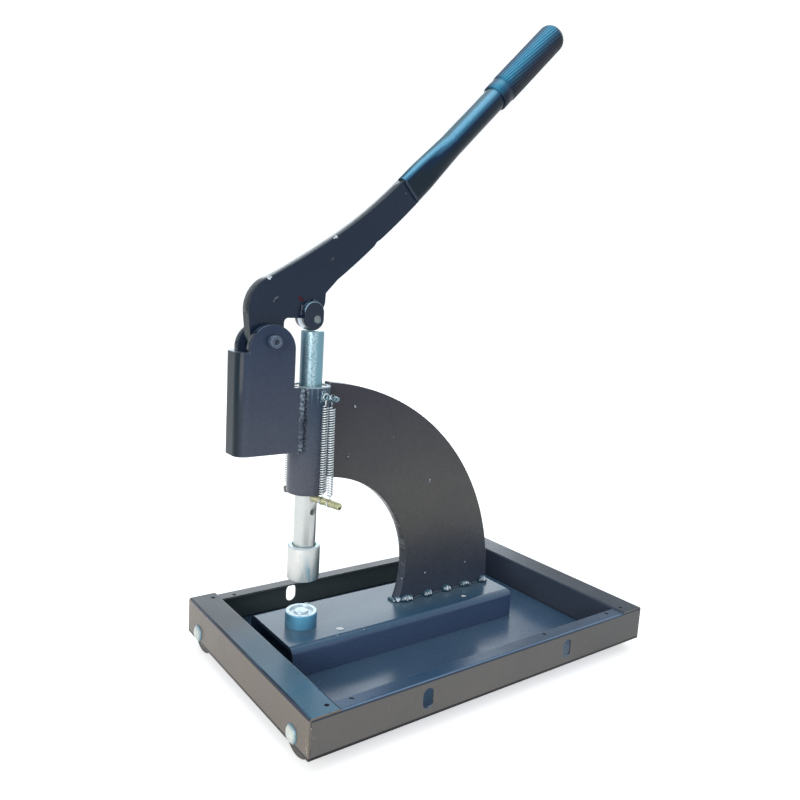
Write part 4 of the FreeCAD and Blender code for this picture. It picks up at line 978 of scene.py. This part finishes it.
def make_column_ripples():
    """Thin runs between the column's beads, two wide lumps and a bead across the front foot."""
    places = [point.x for part in loose_parts("column_welds") for point in part]
    first, last = min(places), max(places)
    beads, runs = Shape(), Shape()
    for seed, side in enumerate((-1, 1)):
        aside, rise = side * (column_half + 0.6 * MM), 0.7 * MM
        path = straight(by_column(first, aside, rise), by_column(last, aside, rise), 0.6 * MM)
        lumpy_bead(path, 1.35 * MM, 3.1 * MM, seed + 20, runs, 0.4)
    for lump in (by_column(-10.5 * MM, -column_half - 1.5 * MM, 2 * MM),
                 by_column(-17 * MM, -5 * MM, 1.8 * MM)):
        path = straight(lump - ALONG_X * (5 * MM), lump + ALONG_X * (5 * MM))
        lumpy_bead(path, 4.6 * MM, 4 * MM, 33, beads)
    front = first - 9 * MM
    path = straight(by_column(front, -6 * MM, 0.8 * MM), by_column(front, 8 * MM, 0.8 * MM))
    lumpy_bead(path, 2.8 * MM, 3 * MM, 31, beads)
    finished(beads, "column_foot_welds", "base", "frame_paint", weld_look)
    finished(runs, "column_weld_runs", "base", "frame_paint", run_look)


def make_stud_collars():
    """Rough weld round the root of each spring stud, and splashes round it."""
    highest = top("guide_tube") - 1 * MM
    shape = Shape()
    for seed, side in enumerate((1, -1)):
        centre = on_bar(side * (tube_radius + 0.3 * MM), stud_height)
        collar = arc(centre, 3.9 * MM, 3.6 * MM, 0, 360, 40)
        lumpy_bead(collar, 1.6 * MM, 2.2 * MM, seed + 40, shape, 0.4)
        for index in range(34):
            turn = random.gauss(0, 0.16)
            outward = (bar_direction * side * cos(turn) + bar_sideways * sin(turn)).normalized()
            spot = ram_axis + outward * tube_radius + UP * (stud_height + random.gauss(1, 3.4) * MM)
            if spot.z < highest:
                add_fleck(spot, outward, random.uniform(0.5, 1.2) * MM, index, shape)
    finished(shape, "stud_weld_collars", "base", "frame_paint", splash_look)


# ---- spatter and burrs
def make_spatter():
    """Weld spatter caught in the paint."""
    facing = -ALONG_Y
    face = (ram_axis.y - column_half) / MM
    # Body, slot, look, name and direction of a group; x, y, z and size of each lump, in mm.
    groups = [
        ("base", "frame_paint", grey_fleck_look, "column_spatter", facing,
         [(22.8, face, 80.6, 1.7), (90.3, face, 83, 1.9), (-13.6, face, 79.8, 1.6),
          (-96.5, face, 301.5, 2.2), (20.6, face, 203.1, 2.1), (20.2, face, 200.6, 1.5),
          (-102.2, face, 243.6, 1.8), (-101, face, 247, 1.2), (64, face, 140, 0.9),
          (-40, face, 262, 0.9)]),
        ("base", "frame_paint", pale_fleck_look, "plinth_spatter", UP,
         [(-118.9, -1.8, 50.3, 3), (-121.6, -0.4, 50.3, 2), (-116.4, -3.6, 50.3, 1.8),
          (67.3, -1.2, 50.3, 2.3), (69.4, -2.6, 50.3, 1.4), (-130, -14, 50.3, 0.6),
          (-96, -16.5, 50.3, 0.6)]),
        ("lever", "lever_paint", lever_fleck_look, "lever_spatter", facing,
         [(-200, face, 419.3, 2.1), (-197.8, face, 421.4, 1.4), (-201.8, face, 416.8, 1.4),
          (-134.2, face, 464, 1.7), (-136, face, 462.4, 1.1), (-42.7, face, 542.6, 1.9)]),
        ("lever", "lever_paint", rust_fleck_look, "lever_rust", facing,
         [(-171.6, face, 420.8, 2), (-169.6, face, 419, 1.6), (-173.4, face, 422.4, 1.2)]),
        ("lever", "lever_paint", pale_fleck_look, "lever_edge_spatter", (UP + facing).normalized(),
         [(-208.3, 24.8, 439.9, 2), (-206.4, 24.8, 441.3, 1.3), (-131, 25, 487.4, 1.9),
          (-133.4, 25, 486.2, 1.2)]),
    ]
    for body, slot, look, name, normal, places in groups:
        shape = Shape()
        for seed, (x, y, z, size) in enumerate(places):
            add_fleck(Vector((x * MM, y * MM, z * MM)), normal, size * MM, seed + 1, shape)
        finished(shape, name, body, slot, look)


def make_die_burrs():
    """Burrs on the lower die's outer edge, where the upper die's chamfer clears them, and swarf in
    its ring groove."""
    edge = half_width("lower_die") / MM + 0.1
    surface = top("lower_die") / MM
    groove = surface - 2.4
    # Direction in degrees; distance from the ram's axis, height and size in mm; seed.
    marks = [(41, edge, surface, 1.3, 60), (36, edge, surface, 1.1, 61), (47, edge, surface, 1.1, 62),
             (207, 10.2, groove, 1.1, 66), (276, 10.4, groove, 1.2, 67), (250, 11, groove, 0.8, 68)]
    shape = Shape()
    for direction, distance, height, size, seed in marks:
        angle = radians(direction)
        outward = ALONG_X * cos(angle) + ALONG_Y * sin(angle)
        spot = ram_axis + outward * (distance * MM) + UP * (height * MM)
        add_fleck(spot, UP, size * MM, seed, shape)
    finished(shape, "lower_die_burrs", "base", "zinc_steel", looks["zinc_steel"])


# ---- threaded cross bar
def make_cross_bar():
    """The cross bar with its thread, and a turned groove under each spring's hook."""
    sides, ring_step = 20, 0.18 * MM
    thread_depth, chamfer = 0.75 * MM, 0.9 * MM
    groove_depth, groove_half = 0.85 * MM, 1.5 * MM
    low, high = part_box("spring_cross_bar")
    radius = (high.z - low.z) / 2
    slant = radius * abs(bar_direction.x)
    near_reach = (ram_axis.y - low.y - slant) / abs(bar_direction.y)
    far_reach = (high.y - ram_axis.y - slant) / abs(bar_direction.y)
    length = near_reach + far_reach
    count = int(length / ring_step)
    rings = []
    for index in range(count + 1):
        distance = -far_reach + length * index / count
        ends = min(1, (distance + far_reach) / chamfer, (near_reach - distance) / chamfer)
        grooved = min(abs(distance - lower) for lower, _ in spring_places.values()) < groove_half
        ring = []
        for step, spoke in enumerate(spokes(bar_sideways, UP, sides)):
            turn = (distance / thread_pitch + step / sides) % 1
            depth = groove_depth if grooved else thread_depth * abs(2 * turn - 1)
            ring.append(on_bar(distance, bar_height) + spoke * (radius - depth - chamfer * (1 - ends)))
        rings.append(ring)
    shape = Shape()
    skin(rings, shape)
    finished(shape, "threaded_cross_bar", "ram", "yellow_zinc", cross_bar_look, "spring_cross_bar")


# ---- hand grip
def make_grip():
    """The grip: a plain collar, a shallow groove, then fine winding ribs that run onto the dome."""
    start, dome, tip = RIBS_START / MM, 537.6, 550.6
    collar, groove, radius = 16.5, 15.9, GRIP_RADIUS / MM
    rib_depth, steps_per_rib = 0.62, 6
    stations = [(0, 13), (0.05, 15.4), (0.6, 16.1), (1.4, collar), (16, collar), (16.5, 16),
                (16.9, groove), (18.4, groove), (18.9, 16.2), (19.8, 16.9), (21, radius)]
    stations += [(21 + (dome - start - 21) * index / 24, radius) for index in range(1, 25)]
    for index in range(1, 13):
        angle = pi / 2 * index / 12.5
        stations.append((dome - start + (tip - dome) * sin(angle), radius * cos(angle)))
    steps = RIBS * steps_per_rib
    rings = []
    for offset, size in stations:
        ribbed = min(1, max(0, (offset - 18.6) / 2)) * min(1, size / 9)
        ring = []
        for step in range(steps):
            angle = 2 * pi * step / steps - RIBS_WINDING * offset * MM
            share = (step % steps_per_rib) / steps_per_rib
            depth = rib_depth * ribbed * (1 - abs(sin(pi * share)) ** 0.8)
            spoke = handle_across * cos(angle) + ALONG_Y * sin(angle)
            ring.append(on_handle((start + offset) * MM) + spoke * ((size - depth) * MM))
        rings.append(ring)
    shape = Shape()
    skin(rings, shape)
    finished(shape, "ribbed_grip", "lever", "grip_rubber", looks["grip_rubber"], "hand_grip")


# ---- springs
def spring_path(name):
    """The wire's middle line: lower hook, turns, upper hook."""
    turns, steps = 37, 14
    lower_eye, upper_eye, coil = 4 * MM, 3.55 * MM, 2.75 * MM
    body_low = bar_height + 7 * MM
    body_high = stud_height - 9 * MM
    points = arc(on_spring(name, bar_height), lower_eye, lower_eye, -210, 285, 20)
    points.append(on_spring(name, bar_height + lower_eye + 0.4 * MM))
    total = turns * steps
    for step in range(total + 1):
        swell = min(1, step / (steps * 0.6), (total - step) / (steps * 0.6))
        radius = coil * sin(swell * pi / 2)
        angle = 2 * pi * step / steps
        height = body_low + (body_high - body_low) * step / total
        points.append(on_spring(name, height) + bar_direction * (radius * cos(angle))
                      + bar_sideways * (radius * sin(angle)))
    points.append(on_spring(name, stud_height - upper_eye - 1.6 * MM))
    return points + arc(on_spring(name, stud_height), upper_eye, upper_eye, -90, 285, 20)


def make_springs():
    """Three extension springs that stretch between the tube's studs and the cross bar."""
    wire_radius, wire_sides = 0.77 * MM, 8
    for name in spring_places:
        shape = Shape()
        wire(spring_path(name), wire_radius, wire_sides, shape)
        spring = new_piece(name + "_coil", shape.vertices, shape.faces)
        spring.data.materials.append(spring_looks[name])
        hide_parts(name)
        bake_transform(spring)


# ---- stage
def make_stage():
    """A plain pale floor, soft light and a white surround."""
    size, floor_glow, surround_light = 9, 0.55, 0.6
    floor = new_piece("floor", [(-size, -size, 0), (size, -size, 0), (size, size, 0), (-size, size, 0)],
                      [(0, 1, 2, 3)])
    material = bpy.data.materials.new("floor_white")
    look = Look(material)
    rays = look.add("ShaderNodeLightPath").outputs
    seen = look.maths("MAXIMUM", rays["Is Camera Ray"], rays["Is Glossy Ray"])
    look.set(Base_Color=(0.9, 0.9, 0.9, 1), Roughness=0.9, Specular_IOR_Level=0.2,
             Emission_Color=(1, 1, 1, 1), Emission_Strength=look.times(seen, floor_glow))
    floor.data.materials.append(material)

    world = bpy.data.worlds.new("surround")
    bpy.context.scene.world = world
    sky = Look(world, "Background")
    rays = sky.add("ShaderNodeLightPath").outputs
    # The surround is brighter where it is seen or mirrored than where it only lights the machine.
    strength = surround_light
    for output, extra in (("Is Camera Ray", 0.52), ("Is Glossy Ray", 0.36)):
        inputs = {0: rays[output], 1: extra, 2: strength}
        strength = sky.add("ShaderNodeMath", inputs, operation="MULTIPLY_ADD").outputs[0]
    sky.set(Color=(0.9, 0.95, 1, 1), Strength=strength)

    add_light("key", (-2, -1, 0.8), (-0.05, 0, 0.2), 1.3, 1, 20, (1, 0.97, 0.93))
    add_light("top", (0.1, 0.2, 2), (0, 0, 0.2), 1.4, 1.2, 9, (0.9, 0.96, 1))
    add_light("back", (1.05, 1.82, 1), (0, 0, 0.15), 1.5, 1.3, 11.5, (0.88, 0.95, 1))


def add_light(name, place, target, width, height, power, tone):
    """A rectangular soft light that faces a target."""
    data = with_settings(bpy.data.lights.new(name, "AREA"), shape="RECTANGLE", size=width, size_y=height,
                         energy=power, color=tone)
    light = new_object(name, data)
    light.location = place
    light.rotation_euler = (Vector(target) - Vector(place)).to_track_quat("-Z", "Y").to_euler()


def make_camera():
    """The camera, by its place and three turns."""
    place = Vector((-0.5548, -0.6711, 0.4439))
    azimuth = radians(-36.84)
    elevation = radians(8.97)
    roll = radians(3.47)
    level_right = Vector((cos(azimuth), sin(azimuth), 0))
    backward = Vector((sin(azimuth) * cos(elevation), -cos(azimuth) * cos(elevation), sin(elevation)))
    level_up = backward.cross(level_right)
    right = level_right * cos(roll) + level_up * sin(roll)
    upward = level_up * cos(roll) - level_right * sin(roll)
    data = with_settings(bpy.data.cameras.new("camera"), lens=33.52, sensor_width=36, clip_start=0.01)
    camera = new_object("camera", data)
    axes = Matrix((right, upward, backward)).transposed()
    camera.matrix_world = Matrix.Translation(place) @ axes.to_4x4()
    bpy.context.scene.camera = camera


dress_nodes()
make_welds()
make_mouth_fillets()
make_column_ripples()
make_stud_collars()
make_spatter()
make_cross_bar()
make_grip()
make_die_burrs()
make_springs()
make_stage()
make_camera()
bpy.context.scene.view_settings.view_transform = "Standard"

bpy.context.view_layer.update()
